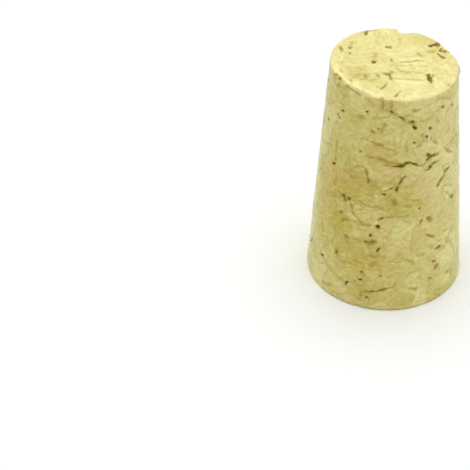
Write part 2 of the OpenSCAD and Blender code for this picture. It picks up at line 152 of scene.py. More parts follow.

# Seams and streaks of the side: [width in mm, ink, spots].
# Ink below 0 is a pale streak, partly a painted highlight along rims, ridges and the edges of seams and
# pits, and ink above 1 turns towards the colour of the pits.
SIDE_STROKES = [
    [0.24, 0.85, [[-19.5, 30.5], [-15, 30.3], [-10.5, 30.3]]],
    [0.22, 0.50, [[-10, 30.0], [-4, 29.7], [0, 29.4]]],
    [0.22, 0.60, [[-30, 30.5], [-27.5, 30.8], [-24.5, 30.8]]],
    [0.18, 0.40, [[-24, 31.2], [-22, 31.8]]],
    [0.24, 0.75, [[-24, 28.0], [-21, 27.9], [-13, 27.9], [-5, 27.6], [1, 27.2]]],
    [0.24, 0.65, [[-8, 26.9], [-4, 26.9], [0, 26.8]]],
    [0.20, 0.70, [[20, 26.4], [24, 26.3], [28, 26.7], [29, 27.2]]],
    [0.30, 0.75, [[33, 27.2], [36, 27.4], [40, 27.4]]],
    [0.22, 0.60, [[32, 26.0], [36, 26.0], [40, 26.0], [44, 26.6]]],
    [0.20, 0.75, [[47.5, 27.6], [51.3, 26.9], [55, 26.2], [59, 25.6]]],
    [0.18, 0.55, [[47, 24.4], [50, 24.5], [54, 24.0]]],
    [0.45, -0.50, [[44, 26.5], [49, 26.3], [53, 25.6], [57, 25.1]]],
    [0.24, -0.55, [[33.5, 30.6], [32.5, 30.0], [32, 29.4]]],
    [0.32, -0.55, [[-12.5, 16.3], [-11, 16.5]]],
    [0.20, 0.65, [[31, 30.8], [32.5, 30.3], [34, 29.7], [37.5, 29.2]]],
    [0.20, 0.60, [[-34, 25.1], [-31, 25.7], [-26, 25.9]]],
    [0.24, 0.90, [[-10, 16.9], [-8.5, 17.2]]],
    [0.22, 0.50, [[-8.5, 17.2], [-5.5, 17.4], [0, 17.7], [10, 17.8], [15, 17.8]]],
    [0.26, 0.45, [[0, 18.2], [0, 17.7]]],
    [0.18, 0.35, [[24, 17.2], [25.5, 16.6]]],
    [0.22, 0.60, [[-26, 19.7], [-22.5, 19.3], [-17, 19.0], [-10, 19.2], [-8, 19.1]]],
    [0.24, 0.60, [[-25, 16.0], [-22, 15.5], [-18, 15.7]]],
    [0.30, 0.75, [[-15, 38.1], [-13.3, 37.5], [-12.5, 36.7]]],
    [0.30, 0.55, [[-9.5, 36.6], [-5.4, 36.3], [-4, 36.0], [-1, 35.7], [3.5, 35.1], [6.5, 34.6]]],
    [0.22, 0.70, [[-5, 37.4], [-5.6, 36.8], [-5.4, 36.3]]],
    [0.34, 0.80, [[10.5, 34.4], [14, 34.1], [15, 33.6]]],
    [0.28, 0.70, [[14.5, 36.0], [17, 36.0], [19.5, 36.1]]],
    [0.16, 0.40, [[19.5, 36.1], [26, 36.4], [31, 36.7]]],
    [0.16, 0.30, [[17, 34.2], [24, 34.1], [32, 34.5], [38, 35.0], [43, 35.0]]],
    [0.30, -0.45, [[26.5, 32.4], [28, 31.6], [29, 30.6]]],
    [0.30, -0.45, [[-8, 22.6], [-5, 22.8]]],
    [0.30, -0.40, [[-14.5, 21.3], [-11.5, 21.1]]],
    [0.30, -0.30, [[-5, 33.8], [-2, 33.7]]],
    [0.20, 0.50, [[36, 33.5], [39.5, 32.9]]],
    [0.16, 0.45, [[-19.5, 34.6], [-15, 34.9], [-8, 35.3], [-4, 35.9]]],
    [0.24, 0.65, [[-10, 34.2], [-10.5, 33.7], [-12.5, 33.2], [-12.5, 32.5]]],
    [0.34, 0.45, [[-36, 34.1], [-33, 34.2], [-30, 34.5]]],
    [0.26, 0.50, [[-57, 34.8], [-54, 34.8], [-51, 34.8]]],
    [0.26, 0.65, [[-61.5, 37.1], [-60, 37.6], [-58.5, 38.2]]],
    # A seam, partly painted shade under the front-left rim's lip
    [0.26, 0.60, [[-50, 38.2], [-42, 38.0], [-35, 37.75]]],
    [0.28, 0.60, [[23, 30.5], [25, 30.5], [27, 30.5]]],
    [0.30, 0.50, [[9, 30.1], [9.3, 29.4]]],
    [0.28, 0.55, [[19.5, 29.7], [22, 30.0]]],
    [0.20, 0.50, [[26, 32.4], [27.5, 31.9], [28, 31.2]]],
    [0.26, 0.50, [[22.5, 31.7], [24.5, 31.3]]],
    [0.28, 0.45, [[62, 27.9], [66, 27.5]]],
    [0.26, 0.55, [[-36, 23.3], [-34, 23.6], [-32, 23.8]]],
    [0.30, 0.55, [[-53.5, 20.4], [-52.5, 21.1], [-51.5, 21.9]]],
    [0.28, 0.50, [[-56, 17.8], [-53, 18.1], [-49, 18.6]]],
    [0.24, 0.55, [[-46, 19.8], [-43.5, 19.2], [-40.5, 19.0], [-37.5, 19.0], [-35.5, 19.6]]],
    [0.30, 0.95, [[-41, 14.9], [-40, 15.3]]],
    [0.30, 0.70, [[-38.5, 15.2], [-35.5, 15.6]]],
    [0.22, 0.55, [[-55, 28.2], [-54.5, 26.4], [-54, 24.8]]],
    [0.26, 0.55, [[3, 23.2], [5, 23.5], [6.5, 24.1]]],
    [0.26, 0.55, [[-6, 22.3], [-3.5, 22.6], [-1.5, 22.9], [1, 22.7]]],
    [0.32, 0.95, [[1.0, 20.5], [1.8, 19.9]]],
    [0.26, 0.60, [[-14, 19.3], [-12, 19.4]]],
    [0.26, 0.60, [[-10, 19.1], [-8, 19.0]]],
    [0.22, 0.60, [[14.5, 20.5], [17, 20.2], [20.5, 20.1]]],
    [0.22, 0.55, [[9.5, 19.7], [12, 19.4], [15.5, 19.1]]],
    [0.24, 0.40, [[30, 20.2], [31.5, 19.8]]],
    [0.16, 0.40, [[44, 20.0], [50, 19.2], [53, 18.8], [55, 18.1], [58, 17.6]]],
    [0.24, 0.60, [[26, 16.9], [24.5, 16.4], [24, 15.9], [22.5, 15.4]]],
    [0.24, 0.85, [[30, 13.2], [33, 12.7], [36, 12.3]]],
    [0.28, 0.45, [[48, 12.1], [52, 12.0]]],
    [0.26, 0.55, [[9, 10.0], [14, 9.3], [19, 8.5]]],
    [0.34, 0.45, [[23, 9.8], [28, 9.7]]],
    [0.30, 0.35, [[34, 10.8], [35, 10.2]]],
    [0.26, 0.40, [[46.5, 9.6], [48.5, 9.1]]],
    [0.26, 0.40, [[51, 9.8], [53.5, 9.3]]],
    [0.26, 0.65, [[15.5, 4.0], [19, 3.7], [22, 3.5]]],
    [0.38, 1.00, [[-20, 12.5], [-17, 12.3], [-14, 12.7], [-13, 13.0]]],
    [0.28, 0.45, [[-29, 12.6], [-24, 12.5]]],
    [0.26, 0.40, [[-30.5, 11.7], [-29, 11.2]]],
    [0.34, 0.45, [[-13, 10.2], [-11, 10.3]]],
    [0.26, 0.60, [[-15, 8.4], [-12.5, 8.8], [-10.5, 9.1]]],
    [0.22, 0.50, [[-28.5, 4.3], [-25, 4.7]]],
    [0.34, 0.40, [[-55, 5.5], [-53, 5.6]]],
    [0.36, 0.50, [[-54, 1.4], [-50, 1.8], [-46, 2.0]]],
    [0.16, 0.40, [[-48, 7.7], [-40, 7.6], [-31, 8.0]]],
    [0.16, 0.40, [[-41, 10.0], [-37, 10.0], [-34, 10.4]]],
    [0.28, 0.40, [[38, 2.0], [43, 1.5]]],
    [0.30, 0.80, [[-20.3, 2.3], [-19.8, 2.9], [-17.5, 3.2], [-12, 3.5]]],
    [0.24, 0.70, [[-6, 3.9], [0, 4.3], [3.5, 4.5], [5, 5.1]]],
    [0.24, 0.50, [[-60, 6.0], [-56, 5.8], [-52, 5.0], [-48.5, 4.7], [-42, 4.3], [-36, 3.9]]],
    [0.36, 0.75, [[40.5, 21.8], [43, 22.3], [46, 22.8]]],
    [0.36, 0.75, [[47.5, 23.2], [50, 23.5], [53.5, 23.5]]],
    [0.44, 0.50, [[31, 16.3], [33.5, 15.6]]],
    [0.40, 0.40, [[38.5, 6.2], [41, 6.7]]],
    [0.40, 0.40, [[51, 3.9], [57, 3.4]]],
    [0.44, -0.45, [[50, 11.5], [53, 11.1]]],
    [0.34, -0.45, [[56, 18.9], [59, 18.4]]],
    [0.34, 0.45, [[-44, 9.2], [-43, 8.4]]],
    [0.34, 0.50, [[-37.5, 12.5], [-35.5, 12.2]]],
    [0.24, 1.70, [[28.6, 28.0], [30, 27.7], [31.5, 27.3]]],
    [0.32, 1.60, [[3.8, 26.9], [6.8, 26.9]]],
    [0.22, 1.30, [[9, 27.25], [11.5, 27.2]]],
    [0.22, 1.20, [[16.5, 26.9], [18.5, 26.6]]],
    [0.22, 1.20, [[30.5, 25.6], [31.8, 25.4]]],
    [0.22, 0.50, [[-36, 18.8], [-34, 18.2], [-33, 17.4], [-30.5, 17.0], [-27.5, 16.5], [-24.5, 16.0]]],
    [0.30, 0.40, [[-64, 17.9], [-58, 18.3], [-50, 18.8]]],
    # A pale streak along the top of the side, a painted highlight where the rim catches the light
    [0.36, -0.60, [[-53, 38.65], [-44, 38.5], [-36, 38.45], [-28, 38.4], [-18, 38.35]]],
    [0.26, 0.80, [[-12, 27.75], [-4, 27.45], [3, 27.1]]],
    [0.22, 0.60, [[47.5, 27.7], [57, 27.75], [66, 27.8]]],
    [0.34, 1.00, [[66, 27.9], [70, 27.4]]],
    [0.22, 0.50, [[70, 27.5], [77, 27.8]]],
]

# Seams and streaks of the sawn end, in the same form.
END_STROKES = [
    [0.20, 0.22, [[-7.8, -3.0], [-8.0, -1.2], [-7.5, 0.3], [-6.4, 0.9]]],
    [0.30, 0.25, [[-7.2, -1.6], [-5.6, -1.8], [-4.4, -1.4]]],
    [0.20, 0.28, [[0.2, -0.4], [0.3, -1.6], [1.4, -2.1], [4.0, -2.1]]],
    [0.18, 0.60, [[0.8, 0.2], [2.0, 0.4], [3.2, 0.9], [4.3, 0.9]]],
    [0.14, 0.30, [[1.0, -0.7], [2.4, -0.4], [3.8, -0.6], [5.0, -0.3]]],
    [0.14, 0.30, [[1.2, 2.0], [2.6, 1.9], [3.6, 2.3]]],
    [0.20, 0.45, [[0.2, -3.9], [1.4, -4.1], [3.0, -4.0], [4.4, -4.1]]],
    [0.36, -0.60, [[0.2, -4.7], [1.8, -4.9], [3.6, -4.8]]],
    [0.26, 1.60, [[-8.3, -4.4], [-8.2, -4.6]]],
    [0.24, 1.00, [[-8.8, -3.6], [-8.6, -3.7]]],
    [0.18, 0.50, [[-0.5, 1.0], [-0.4, 0.5]]],
    [0.20, 0.50, [[-6.6, -4.9], [-6.6, -6.0]]],
    # A pale streak along the front-left rim, a painted highlight where the rim catches the light
    [0.40, -0.60, [[-8.4, -2.6], [-7.4, -5.2], [-5.4, -7.2], [-2.6, -8.5]]],
    [0.20, 0.80, [[7.6, -4.8], [7.8, -5.0]]],
    [0.26, 0.50, [[0.4, -7.3], [0.0, -8.0]]],
    [0.30, 0.40, [[-1.6, -5.6], [-1.8, -6.0]]],
    [0.30, 0.45, [[-2.8, -3.1], [-2.5, -3.8], [-3.2, -4.7]]],
    [0.32, 0.80, [[-1.6, -3.0], [-0.9, -3.0], [-0.5, -2.4]]],
    [0.15, 2.40, [[4.95, -2.4], [5.0, -3.3], [5.15, -4.7]]],
    [0.12, 2.20, [[5.6, -2.7], [5.15, -3.5]]],
    [0.13, 1.60, [[4.5, -3.9], [4.8, -3.9]]],
    [0.26, 2.20, [[5.6, 5.0], [6.2, 5.3]]],
    [0.34, 2.30, [[6.3, 5.4], [6.9, 5.8]]],
    [0.16, 1.10, [[6.9, 6.0], [7.1, 6.6], [7.4, 7.2]]],
    [0.20, 1.60, [[7.0, 4.0], [7.3, 4.6]]],
    [0.26, 1.70, [[7.7, 3.9], [8.1, 3.7]]],
    [0.22, 1.40, [[6.7, 2.9], [7.1, 2.5], [7.5, 2.1]]],
    [0.40, 0.60, [[5.4, 3.5], [5.9, 3.5]]],
    [0.30, 0.60, [[3.7, 2.8], [4.1, 2.2]]],
    [0.18, 1.30, [[-3.9, 7.4], [-3.8, 7.9]]],
    [0.22, 0.80, [[-3.6, 8.3], [-3.0, 8.5], [-2.4, 8.6]]],
    [0.22, 0.45, [[-6.2, 5.2], [-6.0, 4.2], [-6.5, 3.6]]],
    [0.12, 1.60, [[-2.95, -0.2], [-2.85, 0.35]]],
    [0.34, 0.85, [[-4.4, -3.3], [-4.4, -4.3]]],
    [0.24, 0.45, [[-5.0, -4.6], [-4.0, -4.8], [-3.4, -4.8]]],
    [0.30, -0.60, [[7.3, 5.0], [8.0, 4.4]]],
    [0.26, -0.50, [[1.0, 0.9], [2.4, 1.2], [4.0, 1.6]]],
    [0.24, -0.45, [[1.4, -0.1], [3.2, 0.3], [4.6, 0.3]]],
    [0.20, 0.45, [[-6.6, -3.4], [-5.0, -3.1], [-3.8, -3.4]]],
    [0.18, 0.35, [[-6.8, -2.6], [-5.4, -2.6], [-4.4, -2.2]]],
    [0.50, 0.45, [[-6.0, -4.2], [-5.3, -3.2]]],
    [0.28, 0.80, [[-0.9, -3.2], [-0.7, -4.3]]],
    [0.30, 0.40, [[-2.1, -6.4], [-2.2, -6.9]]],
    [0.30, 0.35, [[-2.9, -6.3], [-2.6, -6.5]]],
    [0.34, 0.40, [[0.0, -4.1], [1.0, -4.1]]],
    [0.26, 0.60, [[-8.0, 3.5], [-7.7, 3.0], [-7.8, 2.4]]],
    [0.34, 0.40, [[-2.7, 2.4], [-2.9, 1.2]]],
    [0.24, 0.35, [[1.0, 6.6], [1.3, 6.4]]],
    [0.24, 0.35, [[-6.0, 5.2], [-5.8, 4.8]]],
    [0.20, 0.45, [[7.9, -4.6], [7.6, -5.3]]],
    [0.20, 0.35, [[5.2, -5.5], [5.3, -5.9]]],
]


# --- Settings ---------------------------------------------------------------------------------------


def length(name, description, default):
    """A length that a user can change"""
    return bpy.props.FloatProperty(
        name=name, description=description, default=default, unit="LENGTH", subtype="DISTANCE"
    )


def colour(name, description, default):
    """A colour that a user can change"""
    return bpy.props.FloatVectorProperty(
        name=name, description=description, default=default, size=3, min=0, max=1, subtype="COLOR"
    )


class CorkShape(bpy.types.PropertyGroup):
    """Sizes of the cork's surface"""

    seed: bpy.props.IntProperty(
        name="Seed",
        description="Seed of the noise that makes edges ragged and the granules' borders crumpled",
        default=2,
        min=1,
    )
    across: bpy.props.IntProperty(
        name="Steps across",
        description="Mesh steps across each end; four times as many run round the side",
        default=78,
        min=8,
    )
    rim: length("Foot rim", "Radius of the rounded rim at the foot", 0.12 * MM)
    sawn_rim: length("Sawn rim", "Radius of the rounded rim at the sawn end", 0.13 * MM)
    ragged: length("Ragged edge", "About how far the edge of a pit or split wanders", 0.13 * MM)
    granule: length("Granule", "Usual distance between the middles of two granules", 3.1 * MM)
    relief: length("Relief", "How far a granule lies above or below the smooth skin, at most", 0.05 * MM)
    groove: length("Groove", "Depth of the groove where two granules meet, at most", 0.07 * MM)


class CorkColours(bpy.types.PropertyGroup):
    """Colours of the cork"""

    sawn: colour("Sawn end", "Pale bloom of the freshly sawn end", (0.93, 0.88, 0.47))
    pale: colour("Pale granule", "Lightest of the plain granules", (0.90, 0.83, 0.36))
    # Pale streaks are partly painted highlights along rims, ridges and the edges of seams and pits
    fleck_and_highlight: colour("Pale fleck", "Pale streaks where the skin is torn", (0.95, 0.89, 0.43))
    tan: colour("Tan granule", "Darkest of the plain granules", (0.62, 0.49, 0.085))
    rosy: colour("Rosy granule", "Granules with a reddish cast", (0.76, 0.57, 0.22))
    olive: colour("Olive granule", "Granules with a green cast", (0.60, 0.55, 0.12))
    rust: colour("Rust crumbs", "Crumbs of bark", (0.72, 0.42, 0.07))
    seam: colour("Seam", "Glue between two granules, and the stain round a pit", (0.45, 0.345, 0.06))
    pit: colour("Pit", "Deep inside the pits and splits, and the darkest strokes", (0.46, 0.365, 0.018))


class StageLook(bpy.types.PropertyGroup):
    """Floor, light and camera"""

    floor: colour("Floor", "Colour of the table top in the light that it throws back", (0.95, 0.96, 0.935))
    table: colour("Table", "Colour of the table top as the camera sees it", (0.975, 0.985, 0.99))
    sky: bpy.props.FloatProperty(
        name="Room light",
        description="Strength of the light that comes from all round",
        default=0.50,
        min=0,
    )
    backdrop: bpy.props.FloatProperty(
        name="Backdrop light",
        description="How much stronger the room light is from behind",
        default=0.12,
    )
    window: bpy.props.FloatProperty(
        name="Window light",
        description="How much stronger the room light is from the right",
        default=0.10,
    )
    overhead: bpy.props.FloatProperty(
        name="Overhead light",
        description="Power of the large lamp overhead, in watts",
        default=2.5,
        min=0,
        unit="POWER",
    )
    lens: bpy.props.FloatProperty(
        name="Lens",
        description="Focal length of the camera, in millimetres",
        default=170.2,
        min=1,
    )
    pitch: bpy.props.FloatProperty(
        name="Pitch",
        description="How far the camera looks down",
        default=math.radians(39.71),
        subtype="ANGLE",
        unit="ROTATION",
    )
    seat: bpy.props.FloatVectorProperty(
        name="Camera seat",
        description="Where the camera stands",
        default=(-0.02339, -0.2672, 0.22708),
        size=3,
        subtype="TRANSLATION",
        unit="LENGTH",
    )


# --- The turned solid -------------------------------------------------------------------------------


class TurnedSolid:
    """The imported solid: its size, and how deep any point of its skin lies"""

    LIFT = 1.0 * MM     # how far outside the skin a probe starts
    REACH = 1.9 * MM    # deepest pit that a probe follows
    ABOVE = 0.01        # how far over the top a ray starts that comes down on the sawn end
    ASIDE = 0.05        # how far from the axis a ray starts that comes in to the side
    SLACK = 0.05 * MM   # how far below the sawn plane a spot may lie and still count as on it

    def __init__(self, name):
        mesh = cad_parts[name].data
        points = [v.co.copy() for v in mesh.vertices]
        self.tree = BVHTree.FromPolygons(points, [p.vertices[:] for p in mesh.polygons])
        low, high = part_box(name)
        self.high = high.z
        self.wide_r = (high.x - low.x) / 2
        self.plane = self.sawn_plane()
        self.slope = self.side_slope()

    def sawn_plane(self):
        """Height at the axis and rise along X and Y of the sawn narrow end"""
        spots = []
        for i in range(12):
            for share in (0.35, 0.5, 0.65):
                a = i * math.tau / 12
                x = self.wide_r * share * math.cos(a)
                y = self.wide_r * share * math.sin(a)
                start = Vector((x, y, self.high + self.ABOVE))
                hit = self.tree.ray_cast(start, Vector((0, 0, -1)))[0]
                spots.append((1.0, x, y, hit.z))
        spots = np.array(spots)
        for _ in range(4):
            fit = np.linalg.lstsq(spots[:, :3], spots[:, 3], rcond=None)[0]
            miss = spots[:, 3] - spots[:, :3] @ fit
            spots = spots[miss >= -self.SLACK]
        return fit

    def side_slope(self):
        """How much the side's radius shrinks for each metre of height, from rings at 0.2 and 0.8 of it"""
        radii = []
        for height in (0.2, 0.8):
            z = self.high * height
            around = []
            for i in range(24):
                a = i * math.tau / 24
                out = Vector((math.cos(a), math.sin(a), 0))
                hit = self.tree.ray_cast(out * self.ASIDE + Vector((0, 0, z)), -out)[0]
                around.append(math.hypot(hit.x, hit.y))
            radii.append(float(np.median(around)))
        apart = 0.6 * self.high
        return (radii[0] - radii[1]) / apart

    def top_at(self, x, y):
        """Height of the sawn end over a point"""
        return self.plane[0] + self.plane[1] * x + self.plane[2] * y

    def side_spot(self, angle, height):
        """Point and outward direction on the side, at an angle in degrees and a height in mm"""
        a = math.radians(angle)
        r = self.wide_r - self.slope * height * MM
        out = Vector((math.sin(a), -math.cos(a), self.slope)).normalized()
        return Vector((r * math.sin(a), -r * math.cos(a), height * MM)), out

    def end_spot(self, x, y):
        """Point and outward direction on the sawn end, at x and y in mm"""
        out = Vector((-self.plane[1], -self.plane[2], 1)).normalized()
        return Vector((x * MM, y * MM, self.top_at(x * MM, y * MM))), out

    def tints(self):
        """The tinted areas, the side's painted light and shade among them, as [middle, out, radius, tan,
        rosy, lean]
        """
        found = []
        for spot, rows in ((self.side_spot, SIDE_TINTS_AND_PAINTED_LIGHT), (self.end_spot, END_TINTS)):
            for u, v, radius, tan, rosy, lean in rows:
                found.append([*spot(u, v), radius * MM, tan, rosy, lean])
        return found

    def strokes(self):
        """The strokes as [start, end, width, ink] segments"""
        found = []
        for spot, rows in ((self.side_spot, SIDE_STROKES), (self.end_spot, END_STROKES)):
            for width, ink, path in rows:
                points = [np.array(spot(*p)[0]) for p in path]
                for a, b in zip(points, points[1:]):
                    found.append([a, b, width * MM, ink])
        return found

    def crumbs(self):
        """The crumbs of bark as [middle, radius, strength]"""
        found = []
        for spot, rows in ((self.side_spot, SIDE_CRUMBS), (self.end_spot, END_CRUMBS)):
            for u, v, radius, strength in rows:
                found.append([spot(u, v)[0], radius * MM, strength])
        return found

    def sunk(self, spot, out):
        """How far the skin lies inside a nominal spot, against its outward direction"""
        hit = self.tree.ray_cast(spot + out * self.LIFT, -out, self.LIFT + self.REACH)
        return hit[3] - self.LIFT if hit[0] is not None else 0.0


def turned_angle(x, y):
    """Angle round the disc for a point of a square, so that the square's edges share the rim evenly"""
    wide = np.abs(x) >= np.abs(y)
    safe_x = np.where(wide & (x != 0), x, 1)
    safe_y = np.where(~wide, y, 1)
    quarter = math.pi / 4
    flat = quarter * y / safe_x + np.where(x < 0, math.pi, 0)
    steep = math.pi / 2 - quarter * x / safe_y + np.where(y < 0, math.pi, 0)
    return np.where(wide, flat, steep)


def block(across, rows):
    """A cube whose ends have across steps each way and whose sides have that many rows"""
    bm = bmesh.new()
    bmesh.ops.create_cube(bm, size=2)
    level = [e for e in bm.edges if abs(e.verts[0].co.z - e.verts[1].co.z) < 0.1]
    bmesh.ops.subdivide_edges(bm, edges=level, cuts=across - 1, use_grid_fill=True)
    upright = [e for e in bm.edges if abs(e.verts[0].co.z - e.verts[1].co.z) > 0.1]
    bmesh.ops.subdivide_edges(bm, edges=upright, cuts=rows - 1, use_grid_fill=True)
    return bm


def graded(step, steps):
    """How far up the flank a row lies, from 0 to 1

    The three steps next to each rim are 1/4, 1/2 and 3/4 as tall as the others."""
    step = np.clip(step, 0, steps)
    near = np.minimum(step, steps - step)
    eased = np.where(near < 3, near * (near + 1) / 8, near - 1.5)
    return np.where(step < steps / 2, eased, steps - 3 - eased) / (steps - 3)


def flank_spots(solid, rim, sawn_rim, rows, row, around, top, up):
    """Spots and outward directions on the side, and whether each is on the sawn end's rim

    The side is straight, and bends through a few rows at each rim; up is the sawn end's direction."""
    bend = 3.0
    down = np.array([0, 0, -1.0])
    side_n = np.array([1.0, solid.slope])
    side_n /= np.linalg.norm(side_n)
    steep = around * side_n[0] + np.array([0, 0, 1.0]) * side_n[1]
    climb = graded(row - bend, rows - 2 * bend)
    zs = rim + climb * (top - rim - sawn_rim)
    flank = around * (solid.wide_r - solid.slope * zs)[:, None]
    flank[:, 2] = zs
    low = np.clip(1 - row / bend, 0, 1)[:, None] * math.pi / 2
    high = np.clip(1 - (rows - row) / bend, 0, 1)[:, None] * math.pi / 2
    low_out = steep * np.cos(low) + down * np.sin(low)
    high_out = steep * np.cos(high) + up * np.sin(high)
    outs = np.where(low > 0, low_out, np.where(high > 0, high_out, steep))
    outs /= np.linalg.norm(outs, axis=1, keepdims=True)
    bow = np.where(high > 0, sawn_rim, rim)
    return flank - steep * bow + outs * bow, outs, high[:, 0] > 0


def turn_block(bm, solid, rim, sawn_rim, rows):
    """Moves the block's points to the smooth skin, and keeps each one's spot and outward direction"""
    spot_layer = bm.verts.layers.float_vector.new("spot")
    out_layer = bm.verts.layers.float_vector.new("out")
    sawn_layer = bm.verts.layers.float.new("sawn")
    lip_highlight_layer = bm.verts.layers.float.new("lip_highlight")
    co = np.array([v.co[:] for v in bm.verts])
    x, y, z = co.T
    turn = turned_angle(x, y)
    share = np.maximum(np.abs(x), np.abs(y))
    cos, sin = np.cos(turn), np.sin(turn)
    around = np.stack([cos, sin, 0 * cos], 1)
    h0, gx, gy = solid.plane
    k = solid.slope
    rise = gx * cos + gy * sin
    top = (h0 + solid.wide_r * rise) / (1 + k * rise)
    top_r = solid.wide_r - k * top
    up = np.array([-gx, -gy, 1.0])
    up /= np.linalg.norm(up)

    # The block's bottom is the foot, its top the sawn end, and the rest the side
    row = (z + 1) / 2 * rows
    spots, outs, on_rim = flank_spots(solid, rim, sawn_rim, rows, row, around, top, up)
    foot = z < -0.999
    r = share * (solid.wide_r - rim)
    spots[foot] = np.stack([r * cos, r * sin, 0 * r], 1)[foot]
    outs[foot] = (0, 0, -1)
    crown = z > 0.999
    r = share * (top_r - sawn_rim)
    spots[crown] = np.stack([r * cos, r * sin, solid.top_at(r * cos, r * sin)], 1)[crown]
    outs[crown] = up

    # Near the rims the outward directions fan out, so that probes reach into the chips there
    fan = 1.5 * MM
    far = np.hypot(spots[:, 0], spots[:, 1])
    above = spots[:, 2] - (top - fan)
    beyond = far - (top_r - fan)
    near_top = (above > 0) & (beyond > 0)
    below = spots[:, 2] - fan
    past = far - (solid.wide_r - fan)
    near_foot = (below < 0) & (past > 0)
    for near, over, up_by in ((near_top, beyond, above), (near_foot, past, below)):
        tilted = around * over[:, None] + np.array([0, 0, 1.0]) * up_by[:, None]
        tilted /= np.maximum(np.linalg.norm(tilted, axis=1, keepdims=True), 1e-12)
        outs[near] = tilted[near]

    # The lip is the band next to the sawn end's edge; its colour is painted paler, a painted highlight
    # along the rim
    lip_highlight_width = 0.45 * MM
    from_edge = np.where(crown, np.abs(beyond - fan), np.abs(above - fan))
    lip_highlight = np.where(foot, 0, np.exp(-((from_edge / lip_highlight_width) ** 2)))
    sawn = crown | (~foot & on_rim)
    for v, spot, out, cut, edge in zip(bm.verts, spots, outs, sawn, lip_highlight):
        v[spot_layer] = spot
        v[out_layer] = out
        v[sawn_layer] = float(cut)
        v[lip_highlight_layer] = edge
        v.co = spot
    return spot_layer, out_layer


def wander(spot, amount):
    """A smooth push, up to about amount, that makes straight edges ragged"""
    coarse = noise.noise_vector(spot / (0.55 * MM))
    fine = noise.noise_vector(spot / (0.21 * MM) + Vector((7, 3, 5)))
    return coarse * amount + fine * (amount * 0.45)


def press_to_solid(verts, solid, ragged, layers):
    """Moves points to the solid's skin, so its pits, splits and chips show with ragged edges"""
    spot_layer, out_layer, sunk_layer = layers
    for v in verts:
        spot = Vector(v[spot_layer])
        out = Vector(v[out_layer]).normalized()
        push = wander(spot, ragged)
        push -= out * push.dot(out)
        sunk = solid.sunk(spot + push, out)
        v[sunk_layer] = sunk
        v.co = spot - out * sunk


def mark_broad(bm, layers, broad_layer, rounds):
    """Keeps how deep each point would lie if the pits and splits were filled level"""
    spot_layer, out_layer, sunk_layer = layers
    bm.verts.index_update()
    a, b = np.array([[v.index for v in e.verts] for e in bm.edges]).T
    count = len(bm.verts)
    degree = (np.bincount(a, minlength=count) + np.bincount(b, minlength=count))[:, None]
    spots = np.array([v[spot_layer][:] for v in bm.verts])
    outs = np.array([v[out_layer][:] for v in bm.verts])
    broad = np.array([v[sunk_layer] for v in bm.verts])
    for _ in range(rounds):
        co = spots - outs * broad[:, None]
        near = [np.bincount(a, co[b, k], count) + np.bincount(b, co[a, k], count) for k in range(3)]
        rise = np.einsum("ij,ij->i", np.stack(near, 1) / degree - co, outs)
        broad -= np.maximum(rise, 0)
    for v, depth in zip(bm.verts, broad):
        v[broad_layer] = depth


def refine(bm, sunk_layer, limit):
    """Splits the faces that lie across a step of more than limit, and returns the new points"""
    stepped = {}
    for e in bm.edges:
        if abs(e.verts[0][sunk_layer] - e.verts[1][sunk_layer]) > limit:
            for f in e.link_faces:
                stepped.update(dict.fromkeys(f.edges))
    before = len(bm.verts)
    bmesh.ops.subdivide_edges(bm, edges=list(stepped), cuts=1, use_grid_fill=True)
    bm.verts.ensure_lookup_table()
    return [bm.verts[i] for i in range(before, len(bm.verts))]


def skin_mesh(solid, shape):
    """The closed skin, pressed onto the solid, with finer faces wherever it steps down"""
    # A face is as tall as it is wide at the height where the radius is 0.9 of the foot's
    step = math.tau * solid.wide_r * 0.9 / (4 * shape.across)
    rows = int(round(solid.high / step))
    bm = block(shape.across, rows)
    sunk_layer = bm.verts.layers.float.new("sunk")
    broad_layer = bm.verts.layers.float.new("broad")
    spot_layer, out_layer = turn_block(bm, solid, shape.rim, shape.sawn_rim, rows)
    layers = (spot_layer, out_layer, sunk_layer)
    press_to_solid(bm.verts, solid, shape.ragged, layers)
    mark_broad(bm, layers, broad_layer, rounds=40)
    # Faces across a step are split once, and again where it's still high
    for limit in (0.07 * MM, 0.16 * MM):
        press_to_solid(refine(bm, sunk_layer, limit), solid, shape.ragged, layers)
    bmesh.ops.triangulate(bm, faces=[f for f in bm.faces if len(f.verts) > 4])
    bmesh.ops.recalc_face_normals(bm, faces=bm.faces)
    mesh = bpy.data.meshes.new("cork_skin")
    bm.to_mesh(mesh)
    bm.free()
    return mesh


# --- Granules ---------------------------------------------------------------------------------------


